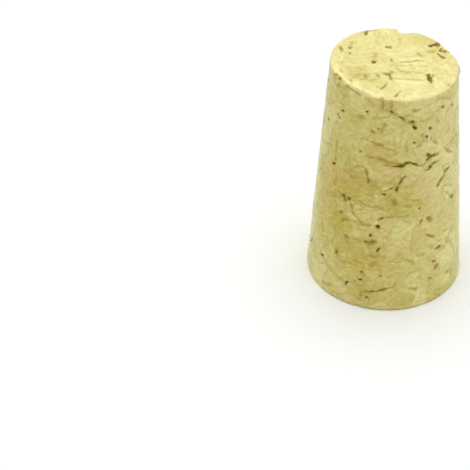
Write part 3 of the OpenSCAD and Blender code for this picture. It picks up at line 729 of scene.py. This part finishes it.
class Granules:
    """Granules packed in the block: where each one's middle is, how it lies and how it looks"""

    NEAREST = 3     # granules that each face knows of

    def __init__(self, size, wide_r, high):
        # The middles lie on a shaken grid, in which every other level is shifted by half a granule
        rng = np.random.default_rng(41)
        n = int(math.ceil(wide_r / size)) + 1
        levels = int(math.ceil(high / size)) + 2
        ij = np.stack(np.meshgrid(*[np.arange(-n, n + 1)] * 2, np.arange(-1, levels), indexing="ij"), -1)
        grid = ij.reshape(-1, 3) * size
        grid[:, 0] += (ij.reshape(-1, 3)[:, 2] % 2) * size / 2
        self.middle = grid + rng.uniform(-0.48, 0.48, grid.shape) * size
        far = np.hypot(self.middle[:, 0], self.middle[:, 1])
        kept = (far < wide_r + size) & (far > wide_r * 0.02)
        self.middle = self.middle[kept]
        count = len(self.middle)

        # Each has an axis along which it's squashed, a gain in size, a tone, a height, and growth lines
        axis = rng.normal(size=(count, 3))
        self.axis = axis / np.linalg.norm(axis, axis=1, keepdims=True)
        self.squash = rng.uniform(0.95, 1.75, count)
        self.gain = rng.uniform(-0.16, 0.16, count) * size
        self.tone = rng.beta(3.5, 3.8, count)
        self.rosy = np.clip(rng.normal(-0.04, 0.25, count), -1, 1)
        self.height = rng.uniform(-1, 1, count)
        lines = rng.normal(size=(count, 3))
        self.lines = lines / np.linalg.norm(lines, axis=1, keepdims=True)
        self.key = rng.uniform(0, 1, count)
        self.calm = rng.uniform(0, 0.9, count)
        self.tree = kdtree.KDTree(count)
        for i, p in enumerate(self.middle):
            self.tree.insert(p, i)
        self.tree.balance()

    def tint(self, spots):
        """Tints and turns the granules near each of [middle, out, radius, tan, rosy, lean]"""
        for middle, out, radius, tan, rosy, lean in spots:
            away = self.middle - np.array(middle)
            near = np.exp(-np.einsum("ij,ij->i", away, away) / (1.1 * radius) ** 2)
            self.tone += near * tan * 0.6
            self.calm += near * (0.6 if tan < 0 else -0.2)
            self.rosy += near * rosy * 0.6
            if lean is not None:
                across = Vector((0, 0, 1)).cross(out)
                across = across.normalized() if across.length > 0.3 else Vector((1, 0, 0))
                up = out.cross(across)
                turn = math.radians(lean + 90)
                line = np.array(across * math.cos(turn) + up * math.sin(turn))
                self.lines[near > 0.35] += 3 * line
        self.lines /= np.linalg.norm(self.lines, axis=1, keepdims=True)
        self.tone = np.clip(self.tone, 0, 1)
        self.calm = np.clip(self.calm, 0, 0.95)
        self.rosy = np.clip(self.rosy, -1, 1)

    def reach(self, points, ids):
        """Distance of each point to each of its granules, stretched along that granule's axis"""
        away = points[:, None, :] - self.middle[ids]
        along = np.einsum("ijk,ijk->ij", away, self.axis[ids])
        far2 = np.einsum("ijk,ijk->ij", away, away) + (self.squash[ids] ** 2 - 1) * along ** 2
        return np.sqrt(np.maximum(far2, 0)) - self.gain[ids]

    def nearest(self, points):
        """Ids of the granules nearest to each point, nearest first"""
        near = 9
        ids = np.array([[hit[1] for hit in self.tree.find_n(p, near)] for p in points])
        order = np.argsort(self.reach(points, ids), axis=1)[:, : self.NEAREST]
        return np.take_along_axis(ids, order, axis=1)


# Folds are (width in mm, push in mm, place in the noise)
BORDER_FOLDS = ((2.6, 0.55, (0, 0, 0)), (0.8, 0.14, (2, 9, 4)))
STROKE_FOLDS = ((1.3, 0.22, (5, 1, 8)), (0.45, 0.07, (1, 6, 2)))


def crumple(points, folds):
    """Points pushed about by noise, so that the borders or strokes read at them aren't straight"""
    out = np.empty_like(points)
    for i, p in enumerate(points):
        spot = Vector(p)
        moved = spot.copy()
        for width, push, place in folds:
            moved += noise.noise_vector(spot / (width * MM) + Vector(place)) * (push * MM)
        out[i] = moved
    return out


def pair_key(granules, a, b):
    """A number from 0 to 1 for the seam between two granules"""
    mixed = (granules.key[a] + granules.key[b]) * 7.13
    return mixed - np.floor(mixed)


def strokes_at(points, outs, faces, strokes):
    """How far face corners lie aside of the nearest stroke and past its end, with its width and its ink

    strokes are [start, end, width, ink] segments; faces gives each corner's face."""
    count = faces.max() + 1
    total = np.bincount(faces, minlength=count)[:, None]
    middle = np.stack([np.bincount(faces, points[:, k], count) for k in range(3)], 1) / total
    best = np.full(count, 1.0)
    pick = np.zeros(count, int)
    for i, (start, end, width, _) in enumerate(strokes):
        run = end - start
        away = middle - start
        along = np.clip(away @ run / (run @ run), 0, 1)
        gap = np.linalg.norm(away - along[:, None] * run, axis=1) - width / 2
        closer = gap < best
        best[closer] = gap[closer]
        pick[closer] = i
    starts, ends, widths, inks = (np.array(part) for part in zip(*strokes))
    run = (ends - starts)[pick[faces]]
    run_length = np.linalg.norm(run, axis=1)
    run /= run_length[:, None]
    away = points - starts[pick[faces]]
    along = np.einsum("ij,ij->i", away, run)
    aside = np.einsum("ij,ij->i", away, np.cross(run, outs))
    past = np.maximum(np.maximum(-along, along - run_length), 0)
    past[best[faces] > 1.2 * MM] = 2 * MM
    return aside / MM, past / MM, widths[pick[faces]] / MM, inks[pick[faces]]


def washes(points, spots):
    """How much tan and rosy each of [middle, out, radius, tan, rosy, lean] adds at each point"""
    tan_wash = np.zeros(len(points))
    rosy_wash = np.zeros(len(points))
    for middle, _, radius, tan, rosy, _ in spots:
        away = points - np.array(middle)
        near = np.exp(-np.einsum("ij,ij->i", away, away) / radius ** 2)
        tan_wash += near * tan * 0.8
        rosy_wash += near * rosy * 0.6
    return tan_wash, rosy_wash


def points_of(mesh):
    """The mesh's points as an array"""
    co = np.empty(len(mesh.vertices) * 3)
    mesh.vertices.foreach_get("co", co)
    return co.reshape(-1, 3)


def outward(mesh):
    """The outward direction kept at each point"""
    out = np.empty(len(mesh.vertices) * 3, np.float32)
    mesh.attributes["out"].data.foreach_get("vector", out)
    out = out.reshape(-1, 3)
    return out / np.maximum(np.linalg.norm(out, axis=1, keepdims=True), 1e-9)


def corners_of(mesh):
    """The point and the face that each face corner belongs to"""
    corner = np.empty(len(mesh.loops), np.int32)
    mesh.loops.foreach_get("vertex_index", corner)
    total = np.empty(len(mesh.polygons), np.int32)
    mesh.polygons.foreach_get("loop_total", total)
    return corner, np.repeat(np.arange(len(total)), total)


def put(mesh, name, domain, values):
    """Stores a number, or three numbers, at each point or face corner"""
    kind, key = ("FLOAT", "value") if values.ndim == 1 else ("FLOAT_VECTOR", "vector")
    layer = mesh.attributes.new(name, kind, domain)
    layer.data.foreach_set(key, np.ascontiguousarray(values, dtype=np.float32).ravel())


def raise_granules(mesh, granules, shape, co, out, crumpled):
    """Gives the skin the granules' relief: each lies a little high or low, with a groove between two"""
    ids = granules.nearest(crumpled)
    reach = granules.reach(crumpled, ids)
    gap = reach[:, 1] - reach[:, 0]
    openness = pair_key(granules, ids[:, 0], ids[:, 1])
    own, other = granules.height[ids[:, 0]], granules.height[ids[:, 1]]
    blend = np.clip(gap / (0.5 * MM), 0, 1)
    step = (0.5 + 0.5 * blend) * own + (0.5 - 0.5 * blend) * other
    groove = np.exp(-((gap / (0.26 * MM)) ** 2)) * np.clip(openness * 1.6 - 0.35, 0.08, 1)
    lift = step * shape.relief - groove * shape.groove
    lift += np.array([noise.noise(Vector(p) / (0.5 * MM)) for p in co]) * 0.02 * MM
    off_foot = np.clip((co[:, 2] - 0.15 * MM) / (0.5 * MM), 0, 1)
    mesh.vertices.foreach_set("co", (co + out * (lift * off_foot)[:, None]).ravel())


def mark_granules(mesh, granules, tints, crumpled):
    """Marks each face corner with its distance to three granules, and with what those look like"""
    corner, face_of = corners_of(mesh)
    middles = np.zeros((len(mesh.polygons), 3))
    np.add.at(middles, face_of, crumpled[corner])
    middles /= np.bincount(face_of)[:, None]
    ids = granules.nearest(middles)[face_of]
    points = crumpled[corner]
    away = points[:, None, :] - granules.middle[ids]
    tan_wash, rosy_wash = washes(crumpled, tints)
    put(mesh, "reach", "CORNER", granules.reach(points, ids) / MM)
    put(mesh, "tone", "CORNER", granules.tone[ids] + tan_wash[corner][:, None])
    put(mesh, "rosy", "CORNER", granules.rosy[ids] + rosy_wash[corner][:, None])
    put(mesh, "phase", "CORNER", np.einsum("ijk,ijk->ij", away, granules.lines[ids]) / MM)
    put(mesh, "calm", "CORNER", granules.calm[ids])
    put(mesh, "open", "CORNER", pair_key(granules, ids[:, 0], ids[:, 1]))


def mark_strokes(mesh, strokes, co, out):
    """Marks each face corner with how far the nearest stroke lies, and with its ink and width"""
    corner, face_of = corners_of(mesh)
    points = crumple(co, STROKE_FOLDS)[corner]
    aside, past, width, ink = strokes_at(points, out[corner], face_of, strokes)
    put(mesh, "stroke", "CORNER", np.stack([aside, past, 0 * past], 1))
    put(mesh, "ink", "CORNER", np.stack([ink, width, 0 * width], 1))


def keep_in_box(mesh):
    """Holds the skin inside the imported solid's box"""
    low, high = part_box(SOLID)
    mesh.vertices.foreach_set("co", np.clip(points_of(mesh), low[:], high[:]).ravel())


def mark_crumbs(mesh, crumbs):
    """Stores how much of each point is a crumb of bark, as rust"""
    co = points_of(mesh)
    rust = np.zeros(len(co))
    for middle, radius, strength in crumbs:
        away = co - np.array(middle)
        rust += strength * np.exp(-np.einsum("ij,ij->i", away, away) / radius ** 2)
    put(mesh, "rust", "POINT", np.clip(rust, 0, 1))


def mark_hollows(mesh, reach):
    """Stores how deep each point lies in a pit or split, as hollow, and how near it is to one, as halo"""
    shallow = 0.15    # mm; a point that lies deeper than this is in a pit or split
    co = points_of(mesh)
    depth = {}
    for name in ("sunk", "broad"):
        depth[name] = np.empty(len(co), np.float32)
        mesh.attributes[name].data.foreach_get("value", depth[name])
    hollow = np.maximum(depth["sunk"] - np.maximum(depth["broad"], 0), 0) / MM
    deep = np.flatnonzero(hollow > shallow)
    tree = kdtree.KDTree(len(deep))
    for i in deep:
        tree.insert(co[i], i)
    tree.balance()
    halo = np.ones(len(co))
    for i in np.flatnonzero(hollow <= shallow):
        _, index, away = tree.find(co[i])
        halo[i] = math.exp(-((away / reach) ** 2)) * min(1, 0.3 + hollow[index] * 1.5)
    put(mesh, "hollow", "POINT", hollow)
    put(mesh, "halo", "POINT", halo)


# --- Cork material ----------------------------------------------------------------------------------


class Wiring:
    """A short way to place shader nodes and join them"""

    def __init__(self, tree):
        self.tree = tree

    def add(self, kind, **settings):
        node = self.tree.nodes.new(kind)
        for key, value in settings.items():
            setattr(node, key, value)
        return node

    def join(self, out, into):
        self.tree.links.new(out, into)

    def feed(self, socket, value):
        """Joins a socket's output, or sets a plain value"""
        if isinstance(value, bpy.types.NodeSocket):
            self.join(value, socket)
        elif value is not None:
            socket.default_value = value

    def math(self, operation, a, b=None, c=None, clamp=False):
        node = self.add("ShaderNodeMath", operation=operation, use_clamp=clamp)
        for socket, value in zip(node.inputs, (a, b, c)):
            self.feed(socket, value)
        return node.outputs[0]

    def remap(self, value, low, high, to_low=0.0, to_high=1.0):
        """A value eased from to_low to to_high as it goes from low to high"""
        node = self.add("ShaderNodeMapRange", interpolation_type="SMOOTHSTEP")
        names = ("Value", "From Min", "From Max", "To Min", "To Max")
        for name, given in zip(names, (value, low, high, to_low, to_high)):
            self.feed(node.inputs[name], given)
        return node.outputs["Result"]

    def blend(self, amount, a, b):
        """A mix of two colours, all of b where amount is 1"""
        node = self.add("ShaderNodeMix", data_type="RGBA")
        self.feed(node.inputs[0], amount)
        self.feed(node.inputs[6], a)
        self.feed(node.inputs[7], b)
        return node.outputs[2]

    def shade(self, colour, value):
        """A colour made darker or lighter by a value near 1"""
        node = self.add("ShaderNodeVectorMath", operation="SCALE")
        self.feed(node.inputs[0], colour)
        self.feed(node.inputs["Scale"], value)
        return node.outputs[0]

    def choose(self, amount, a, b):
        """A mix of two numbers, all of b where amount is 1"""
        node = self.add("ShaderNodeMix", data_type="FLOAT")
        self.feed(node.inputs[0], amount)
        self.feed(node.inputs[2], a)
        self.feed(node.inputs[3], b)
        return node.outputs[0]

    def noise(self, where, size, detail=2.0, roughness=0.5):
        """Noise with features of about size, in metres"""
        node = self.add("ShaderNodeTexNoise")
        self.feed(node.inputs["Vector"], where)
        node.inputs["Scale"].default_value = 1 / size
        node.inputs["Detail"].default_value = detail
        node.inputs["Roughness"].default_value = roughness
        return node.outputs["Fac"]

    def attribute(self, name):
        return self.add("ShaderNodeAttribute", attribute_name=name, attribute_type="GEOMETRY")

    def parts(self, vector):
        """A vector's three numbers"""
        node = self.add("ShaderNodeSeparateXYZ")
        self.feed(node.inputs[0], vector)
        return node.outputs[0], node.outputs[1], node.outputs[2]


def new_group(name, inputs, outputs):
    """An empty node group with the named inputs and outputs, and its Wiring"""
    tree = bpy.data.node_groups.new(name, "ShaderNodeTree")
    for label, kind, value in inputs:
        socket = tree.interface.new_socket(label, in_out="INPUT", socket_type=kind)
        socket.default_value = value
    for label, kind in outputs:
        tree.interface.new_socket(label, in_out="OUTPUT", socket_type=kind)
    wiring = Wiring(tree)
    start = wiring.add("NodeGroupInput")
    end = wiring.add("NodeGroupOutput")
    return tree, wiring, start.outputs, end.inputs


def granule_field_group():
    """Which granule a point belongs to: its tone, its rosiness, its grain, and its seams"""
    labels = ("Tone", "Rosy", "Rings", "Grain", "Gap", "Open")
    tree, w, _, out = new_group("granule_field", [], [(label, "NodeSocketFloat") for label in labels])
    d1, d2, d3 = w.parts(w.attribute("reach").outputs["Vector"])
    first = w.math("LESS_THAN", d1, d2)
    near12 = w.math("MINIMUM", d1, d2)
    far12 = w.math("MAXIMUM", d1, d2)
    last = w.math("LESS_THAN", d3, near12)
    nearest = w.math("MINIMUM", near12, d3)
    second = w.math("MINIMUM", far12, w.math("MAXIMUM", near12, d3))
    a, b, c = w.parts(w.attribute("phase").outputs["Vector"])
    phase = w.choose(last, w.choose(first, b, a), c)

    shares = []
    for d in (d1, d2, d3):
        nearer = w.math("MULTIPLY", w.math("SUBTRACT", nearest, d), 7.0)
        shares.append(w.math("EXPONENT", nearer))
    total = w.math("ADD", w.math("ADD", shares[0], shares[1]), shares[2])
    picked = {}
    for name in ("tone", "rosy", "calm"):
        mixed = 0.0
        for share, part in zip(shares, w.parts(w.attribute(name).outputs["Vector"])):
            mixed = w.math("MULTIPLY_ADD", share, part, mixed)
        picked[name] = w.math("DIVIDE", mixed, total)
    where = w.add("ShaderNodeTexCoord").outputs["Object"]

    waver = w.noise(where, 1.5 * MM, 2.0)
    turns = w.math("ADD", w.math("MULTIPLY", phase, 1.15), w.math("MULTIPLY", waver, 3.2))
    ripple = w.math("SINE", w.math("MULTIPLY", turns, math.tau))
    ripple = w.math("POWER", w.math("MULTIPLY_ADD", ripple, 0.5, 0.5), 3.0)

    grain = w.add("ShaderNodeTexNoise", noise_dimensions="4D")
    w.join(where, grain.inputs["Vector"])
    w.join(w.math("MULTIPLY", phase, 3.4 * MM), grain.inputs["W"])
    grain.inputs["Scale"].default_value = 1 / (1.5 * MM)
    grain.inputs["Detail"].default_value = 3
    grain.inputs["Roughness"].default_value = 0.6

    w.join(picked["tone"], out["Tone"])
    w.join(picked["rosy"], out["Rosy"])
    w.join(ripple, out["Rings"])
    lively = w.math("SUBTRACT", 1.0, picked["calm"])
    fibres = w.math("MULTIPLY_ADD", w.math("SUBTRACT", grain.outputs["Fac"], 0.5), lively, 0.5)
    w.join(fibres, out["Grain"])
    w.join(w.math("SUBTRACT", second, nearest), out["Gap"])
    w.join(w.attribute("open").outputs["Fac"], out["Open"])
    return tree


def speck_group():
    """Small dark specks and pores scattered over the cork"""
    tree, w, given, out = new_group(
        "specks",
        [("Size", "NodeSocketFloat", 0.9), ("Amount", "NodeSocketFloat", 0.3)],
        [("Mask", "NodeSocketFloat")],
    )
    where = w.add("ShaderNodeTexCoord").outputs["Object"]
    shake = w.add("ShaderNodeTexNoise")
    w.join(where, shake.inputs["Vector"])
    shake.inputs["Scale"].default_value = 1 / (0.35 * MM)
    shifted = w.add("ShaderNodeVectorMath", operation="MULTIPLY_ADD")
    w.join(shake.outputs["Color"], shifted.inputs[0])
    shifted.inputs[1].default_value = (0.3 * MM,) * 3
    w.join(where, shifted.inputs[2])
    cell = w.add("ShaderNodeTexVoronoi", feature="F1")
    w.join(shifted.outputs[0], cell.inputs["Vector"])
    w.join(w.math("DIVIDE", 1 / MM, given["Size"]), cell.inputs["Scale"])
    pick, size, _ = w.parts(cell.outputs["Color"])
    kept = w.math("LESS_THAN", pick, given["Amount"])
    edge = w.math("MULTIPLY_ADD", size, 0.16, 0.07)
    dot = w.remap(cell.outputs["Distance"], edge, w.math("MULTIPLY", edge, 0.3))
    w.join(w.math("MULTIPLY", kept, dot), out["Mask"])
    return tree


def granule_colour(w, colours, field, mottled, sawn):
    """Each granule pale or tan, rosy or olive, with crumbs of bark, a bloom on the sawn end, and a painted
    highlight along its edge
    """
    where = w.add("ShaderNodeTexCoord").outputs["Object"]
    broad = w.noise(where, 3.5 * MM, 2.0)
    cloud = w.noise(where, 1.7 * MM, 3.0, 0.55)

    tone = w.math("MULTIPLY_ADD", field["Tone"], 0.55, w.math("MULTIPLY_ADD", broad, 0.5, -0.06))
    tone = w.math("ADD", tone, w.math("MULTIPLY_ADD", mottled, 0.5, -0.25))
    tone = w.math("ADD", tone, w.math("MULTIPLY_ADD", field["Grain"], 0.7, -0.35))
    tone = w.math("ADD", tone, w.math("MULTIPLY", field["Rings"], 0.12))
    tone = w.math("ADD", tone, w.math("MULTIPLY", sawn, w.math("MULTIPLY_ADD", cloud, 1.2, -0.6)))
    # Painted highlight: the band along the sawn end's edge is made paler, where light catches the rim
    lip_highlight = w.math("MULTIPLY", w.attribute("lip_highlight").outputs["Fac"], w.remap(cloud, 0.3, 0.6, 0.3, 1.0))
    lip_highlight = w.math("MULTIPLY", lip_highlight, sawn)
    tone = w.math("SUBTRACT", tone, w.math("MULTIPLY", lip_highlight, 0.5), clamp=True)

    base = w.blend(tone, (*colours.pale, 1), (*colours.tan, 1))
    base = w.blend(w.math("MULTIPLY", field["Rosy"], 0.8, clamp=True), base, (*colours.rosy, 1))
    base = w.blend(w.math("MULTIPLY", field["Rosy"], -1.0, clamp=True), base, (*colours.olive, 1))
    rust = w.math("MULTIPLY", w.attribute("rust").outputs["Fac"], w.remap(mottled, 0.38, 0.58))
    base = w.blend(rust, base, (*colours.rust, 1))
    return w.blend(w.math("MULTIPLY", sawn, 0.35), base, (*colours.sawn, 1))


def grained(w, colours, base, field, mottled, grit):
    """The colour with its grain, growth lines and grit, and dark dashes where the grain is strong"""
    value = w.math("MULTIPLY_ADD", mottled, -0.38, 1.19)
    value = w.math("ADD", value, w.math("MULTIPLY_ADD", field["Grain"], -0.42, 0.21))
    value = w.math("ADD", value, w.math("MULTIPLY_ADD", grit, -0.14, 0.07))
    value = w.math("SUBTRACT", value, w.math("MULTIPLY", field["Rings"], 0.05))
    dash = w.remap(field["Grain"], 0.58, 0.72, 0.0, 0.35)
    return w.blend(dash, w.shade(base, value), (*colours.seam, 1))


def seam_mask(w, field, mottled, patches, sawn):
    """Where the glue shows between two granules: only in patches, and less on the sawn end"""
    gap = w.math("ADD", field["Gap"], w.math("MULTIPLY_ADD", mottled, 0.3, -0.15))
    width = w.remap(field["Open"], 0.3, 1.0, 0.2, 0.5)
    shown = w.remap(field["Open"], 0.3, 0.95, 0.08, 0.5)
    shown = w.math("MULTIPLY", shown, w.math("MULTIPLY_ADD", sawn, -0.6, 1.0))
    shown = w.math("MULTIPLY", shown, w.remap(patches, 0.35, 0.6))
    return w.math("MULTIPLY", w.remap(gap, width, 0.0), shown)


def stroke_masks(w, mottled, patches):
    """How strongly the seam colour, the pale streak colour and the pit colour show in the strokes; the
    pale streaks are partly painted highlights
    """
    aside, past, _ = w.parts(w.attribute("stroke").outputs["Vector"])
    off = w.math("SQRT", w.math("MULTIPLY_ADD", aside, aside, w.math("MULTIPLY", past, past)))
    ink, wide, _ = w.parts(w.attribute("ink").outputs["Vector"])
    wide = w.math("MULTIPLY", wide, w.math("MULTIPLY_ADD", patches, 2.6, 0.3))
    line = w.remap(off, wide, w.math("MULTIPLY", wide, 0.05))
    ink = w.math("MULTIPLY", ink, w.remap(mottled, 0.35, 0.6, 0.85, 1.3))
    dark = w.math("MULTIPLY", line, w.math("MAXIMUM", ink, 0.0), clamp=True)
    # Pale streaks, partly painted highlights along rims, ridges and the edges of seams
    pale = w.math("MULTIPLY", line, w.math("MAXIMUM", w.math("MULTIPLY", ink, -1.0), 0.0), clamp=True)
    inky = w.math("MULTIPLY", line, w.remap(ink, 1.0, 2.0), clamp=True)
    return dark, pale, inky


def hollowed(w, colours, base, mottled, sawn, sunken):
    """The colour with a stain round each pit and split, dark inside them, and darker inside them on the
    sawn end as painted shade
    """
    halo = w.math("ADD", w.attribute("halo").outputs["Fac"], w.math("MULTIPLY_ADD", mottled, 0.6, -0.3))
    less_sawn = w.math("MULTIPLY_ADD", sawn, -0.4, 1.0)
    stain = w.math("MULTIPLY", w.remap(halo, 0.1, 0.95, 0.0, 0.6), less_sawn)
    base = w.blend(stain, base, (*colours.seam, 1))
    hollow = w.attribute("hollow").outputs["Fac"]
    deep = w.blend(w.remap(hollow, 0.3, 0.7), (*colours.seam, 1), (*colours.pit, 1))
    # Painted shade: the pits of the sawn end are made darker, as the overhead light reaches into them more
    deep = w.shade(deep, w.math("MULTIPLY_ADD", sawn, -0.3, 1.0))
    return w.blend(w.math("MULTIPLY", sunken, 0.9), base, deep)


def cork_bump(w, grain, mottled, grit, seam, dot):
    """Fine relief: mottle and grit stand up, and grain, seams and specks lie low"""
    height = w.math("MULTIPLY_ADD", grit, 0.05, w.math("MULTIPLY", mottled, 0.06))
    height = w.math("MULTIPLY_ADD", grain, -0.06, height)
    height = w.math("MULTIPLY_ADD", seam, -0.09, height)
    height = w.math("MULTIPLY_ADD", dot, -0.08, height)
    bump = w.add("ShaderNodeBump")
    bump.inputs["Strength"].default_value = 0.7
    bump.inputs["Distance"].default_value = 1 * MM
    w.join(height, bump.inputs["Height"])
    return bump.outputs[0]


def cork_material(colours):
    """Granulated cork: tinted granules, grain, glue seams, strokes, fine pores and brown pits"""
    mat = bpy.data.materials.new("cork")
    mat.use_nodes = True
    mat.node_tree.nodes.clear()
    w = Wiring(mat.node_tree)
    out = w.add("ShaderNodeOutputMaterial")
    skin = w.add("ShaderNodeBsdfPrincipled")
    w.join(skin.outputs[0], out.inputs["Surface"])
    skin.inputs["Roughness"].default_value = 0.85
    skin.inputs["Sheen Roughness"].default_value = 0.3
    skin.inputs["Sheen Tint"].default_value = (0.93, 1.0, 0.85, 1)

    field = w.add("ShaderNodeGroup", node_tree=granule_field_group()).outputs
    specks = w.add("ShaderNodeGroup", node_tree=speck_group()).outputs
    where = w.add("ShaderNodeTexCoord").outputs["Object"]
    mottled = w.noise(where, 0.8 * MM, 4.0, 0.62)
    grit = w.noise(where, 0.16 * MM, 3.0, 0.65)
    patches = w.noise(where, 1.1 * MM, 2.0)
    sawn = w.attribute("sawn").outputs["Fac"]

    base = granule_colour(w, colours, field, mottled, sawn)
    base = grained(w, colours, base, field, mottled, grit)
    dark, pale, inky = stroke_masks(w, mottled, patches)
    seam = w.math("MAXIMUM", seam_mask(w, field, mottled, patches, sawn), dark)
    # Pale streaks, partly painted highlights
    base = w.blend(pale, base, (*colours.fleck_and_highlight, 1))
    base = w.blend(seam, base, (*colours.seam, 1))
    base = w.blend(inky, base, (*colours.pit, 1))
    base = w.shade(base, w.math("MULTIPLY_ADD", inky, -0.3, 1.0))
    dot = w.math("MULTIPLY", specks["Mask"], 0.5)
    base = w.blend(dot, base, (*colours.seam, 1))
    sunken = w.remap(w.attribute("hollow").outputs["Fac"], 0.1, 0.5)
    base = hollowed(w, colours, base, mottled, sawn, sunken)

    # Light doesn't catch inside the pits, so both the shine and the bloom die down there
    w.join(base, skin.inputs["Base Color"])
    w.join(w.math("MULTIPLY_ADD", sunken, -0.2, 0.25), skin.inputs["Specular IOR Level"])
    w.join(w.math("MULTIPLY_ADD", sunken, -0.7, 0.9), skin.inputs["Sheen Weight"])
    w.join(cork_bump(w, field["Grain"], mottled, grit, seam, dot), skin.inputs["Normal"])
    return mat


# --- Operators --------------------------------------------------------------------------------------


class CORK_OT_stopper(bpy.types.Operator):
    """Model the stopper's granulated skin over its turned solid"""

    bl_idname = "cork.stopper"
    bl_label = "Cork stopper"

    def execute(self, context):
        shape = context.scene.cork_shape
        noise.seed_set(shape.seed)
        solid = TurnedSolid(SOLID)
        mesh = skin_mesh(solid, shape)
        mark_hollows(mesh, reach=0.34 * MM)
        mark_crumbs(mesh, solid.crumbs())
        granules = Granules(shape.granule, solid.wide_r, solid.high)
        tints = solid.tints()
        granules.tint(tints)
        co = points_of(mesh)
        out = outward(mesh)
        crumpled = crumple(co, BORDER_FOLDS)
        raise_granules(mesh, granules, shape, co, out, crumpled)
        mark_granules(mesh, granules, tints, crumpled)
        mark_strokes(mesh, solid.strokes(), co, out)
        keep_in_box(mesh)
        for name in ("spot", "out", "sunk", "broad"):
            mesh.attributes.remove(mesh.attributes[name])
        mesh.polygons.foreach_set("use_smooth", [True] * len(mesh.polygons))
        mesh.materials.append(cork_material(context.scene.cork_colours))
        mesh.update()
        triangles = sum(len(p.vertices) - 2 for p in mesh.polygons)
        print("skin", len(mesh.vertices), "points", triangles, "triangles")
        skin = bpy.data.objects.new("cork_skin", mesh)
        context.scene.collection.objects.link(skin)
        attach(skin, "root")
        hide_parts(SOLID)
        return {"FINISHED"}


class CORK_OT_stage(bpy.types.Operator):
    """Lay the pale table, hang the lamp and set the camera"""

    LAMP_WIDTH = 0.6
    LAMP_SPOT = (-0.02, 0.02, 0.6)
    TABLE_WIDTH = 6.0

    bl_idname = "cork.stage"
    bl_label = "Stage"

    def execute(self, context):
        look = context.scene.cork_stage
        self.floor(context, look)
        self.room(context, look)
        self.lamp(context, look)
        self.camera(context, look)
        return {"FINISHED"}

    def floor(self, context, look):
        """A wide pale table top"""
        bm = bmesh.new()
        bmesh.ops.create_grid(bm, x_segments=1, y_segments=1, size=self.TABLE_WIDTH / 2)
        mesh = bpy.data.meshes.new("table_top")
        bm.to_mesh(mesh)
        bm.free()
        mat = bpy.data.materials.new("table_top")
        mat.use_nodes = True
        skin = mat.node_tree.nodes["Principled BSDF"]
        skin.inputs["Roughness"].default_value = 0.8
        skin.inputs["Specular IOR Level"].default_value = 0.0
        w = Wiring(mat.node_tree)
        seen = w.add("ShaderNodeLightPath").outputs["Is Camera Ray"]
        w.join(w.blend(seen, (*look.floor, 1), (*look.table, 1)), skin.inputs["Base Color"])
        mesh.materials.append(mat)
        table = bpy.data.objects.new("table_top", mesh)
        context.scene.collection.objects.link(table)
        table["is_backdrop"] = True

    def room(self, context, look):
        """White light from all round, a little stronger from behind and from the right"""
        world = bpy.data.worlds.new("room")
        world.use_nodes = True
        context.scene.world = world
        back = world.node_tree.nodes["Background"]
        back.inputs["Color"].default_value = (1, 1, 1, 1)
        w = Wiring(world.node_tree)
        right, behind, _ = w.parts(w.add("ShaderNodeTexCoord").outputs["Generated"])
        glow = w.math("MULTIPLY_ADD", behind, look.backdrop, look.sky)
        w.join(w.math("MULTIPLY_ADD", right, look.window, glow), back.inputs["Strength"])

    def lamp(self, context, look):
        """One large soft lamp overhead"""
        data = bpy.data.lights.new("overhead", "AREA")
        data.shape = "DISK"
        data.size = self.LAMP_WIDTH
        data.energy = look.overhead
        lamp = bpy.data.objects.new("overhead", data)
        lamp.location = self.LAMP_SPOT
        lamp.rotation_euler = (Vector((0, 0, 1)).rotation_difference(lamp.location)).to_euler()
        context.scene.collection.objects.link(lamp)

    def camera(self, context, look):
        """A long lens that looks down at the stopper"""
        data = bpy.data.cameras.new("camera")
        data.sensor_width = 36
        data.lens = look.lens
        data.clip_start = 0.01
        camera = bpy.data.objects.new("camera", data)
        camera.location = look.seat
        camera.rotation_euler = (math.pi / 2 - look.pitch, 0, 0)
        context.scene.collection.objects.link(camera)
        context.scene.camera = camera
        context.scene.view_settings.view_transform = "Standard"


class CORK_PT_panel(bpy.types.Panel):
    """Lists the stopper's settings and operators"""

    bl_idname = "CORK_PT_panel"
    bl_label = "Cork Stopper"
    bl_space_type = "VIEW_3D"
    bl_region_type = "UI"
    bl_category = "Cork"

    def draw(self, context):
        for group in ("cork_shape", "cork_colours", "cork_stage"):
            settings = getattr(context.scene, group)
            box = self.layout.box()
            for name in settings.bl_rna.properties.keys():
                if name not in ("rna_type", "name"):
                    box.prop(settings, name)
        self.layout.operator(CORK_OT_stopper.bl_idname)
        self.layout.operator(CORK_OT_stage.bl_idname)


CLASSES = (CorkShape, CorkColours, StageLook, CORK_OT_stopper, CORK_OT_stage, CORK_PT_panel)


def register():
    """Adds the classes and the settings that the scene keeps"""
    for cls in CLASSES:
        bpy.utils.register_class(cls)
    bpy.types.Scene.cork_shape = bpy.props.PointerProperty(type=CorkShape)
    bpy.types.Scene.cork_colours = bpy.props.PointerProperty(type=CorkColours)
    bpy.types.Scene.cork_stage = bpy.props.PointerProperty(type=StageLook)


def unregister():
    """Takes the settings and the classes away again"""
    del bpy.types.Scene.cork_stage
    del bpy.types.Scene.cork_colours
    del bpy.types.Scene.cork_shape
    for cls in reversed(CLASSES):
        bpy.utils.unregister_class(cls)


def main():
    """Builds the stopper and its stage"""
    register()
    bpy.ops.cork.stopper()
    bpy.ops.cork.stage()
    boxes = {"cad": CAD_BOUNDS, "visual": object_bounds()}
    boxes = {name: [list(corner) for corner in box] for name, box in boxes.items()}


if __name__ == "__main__":
    main()
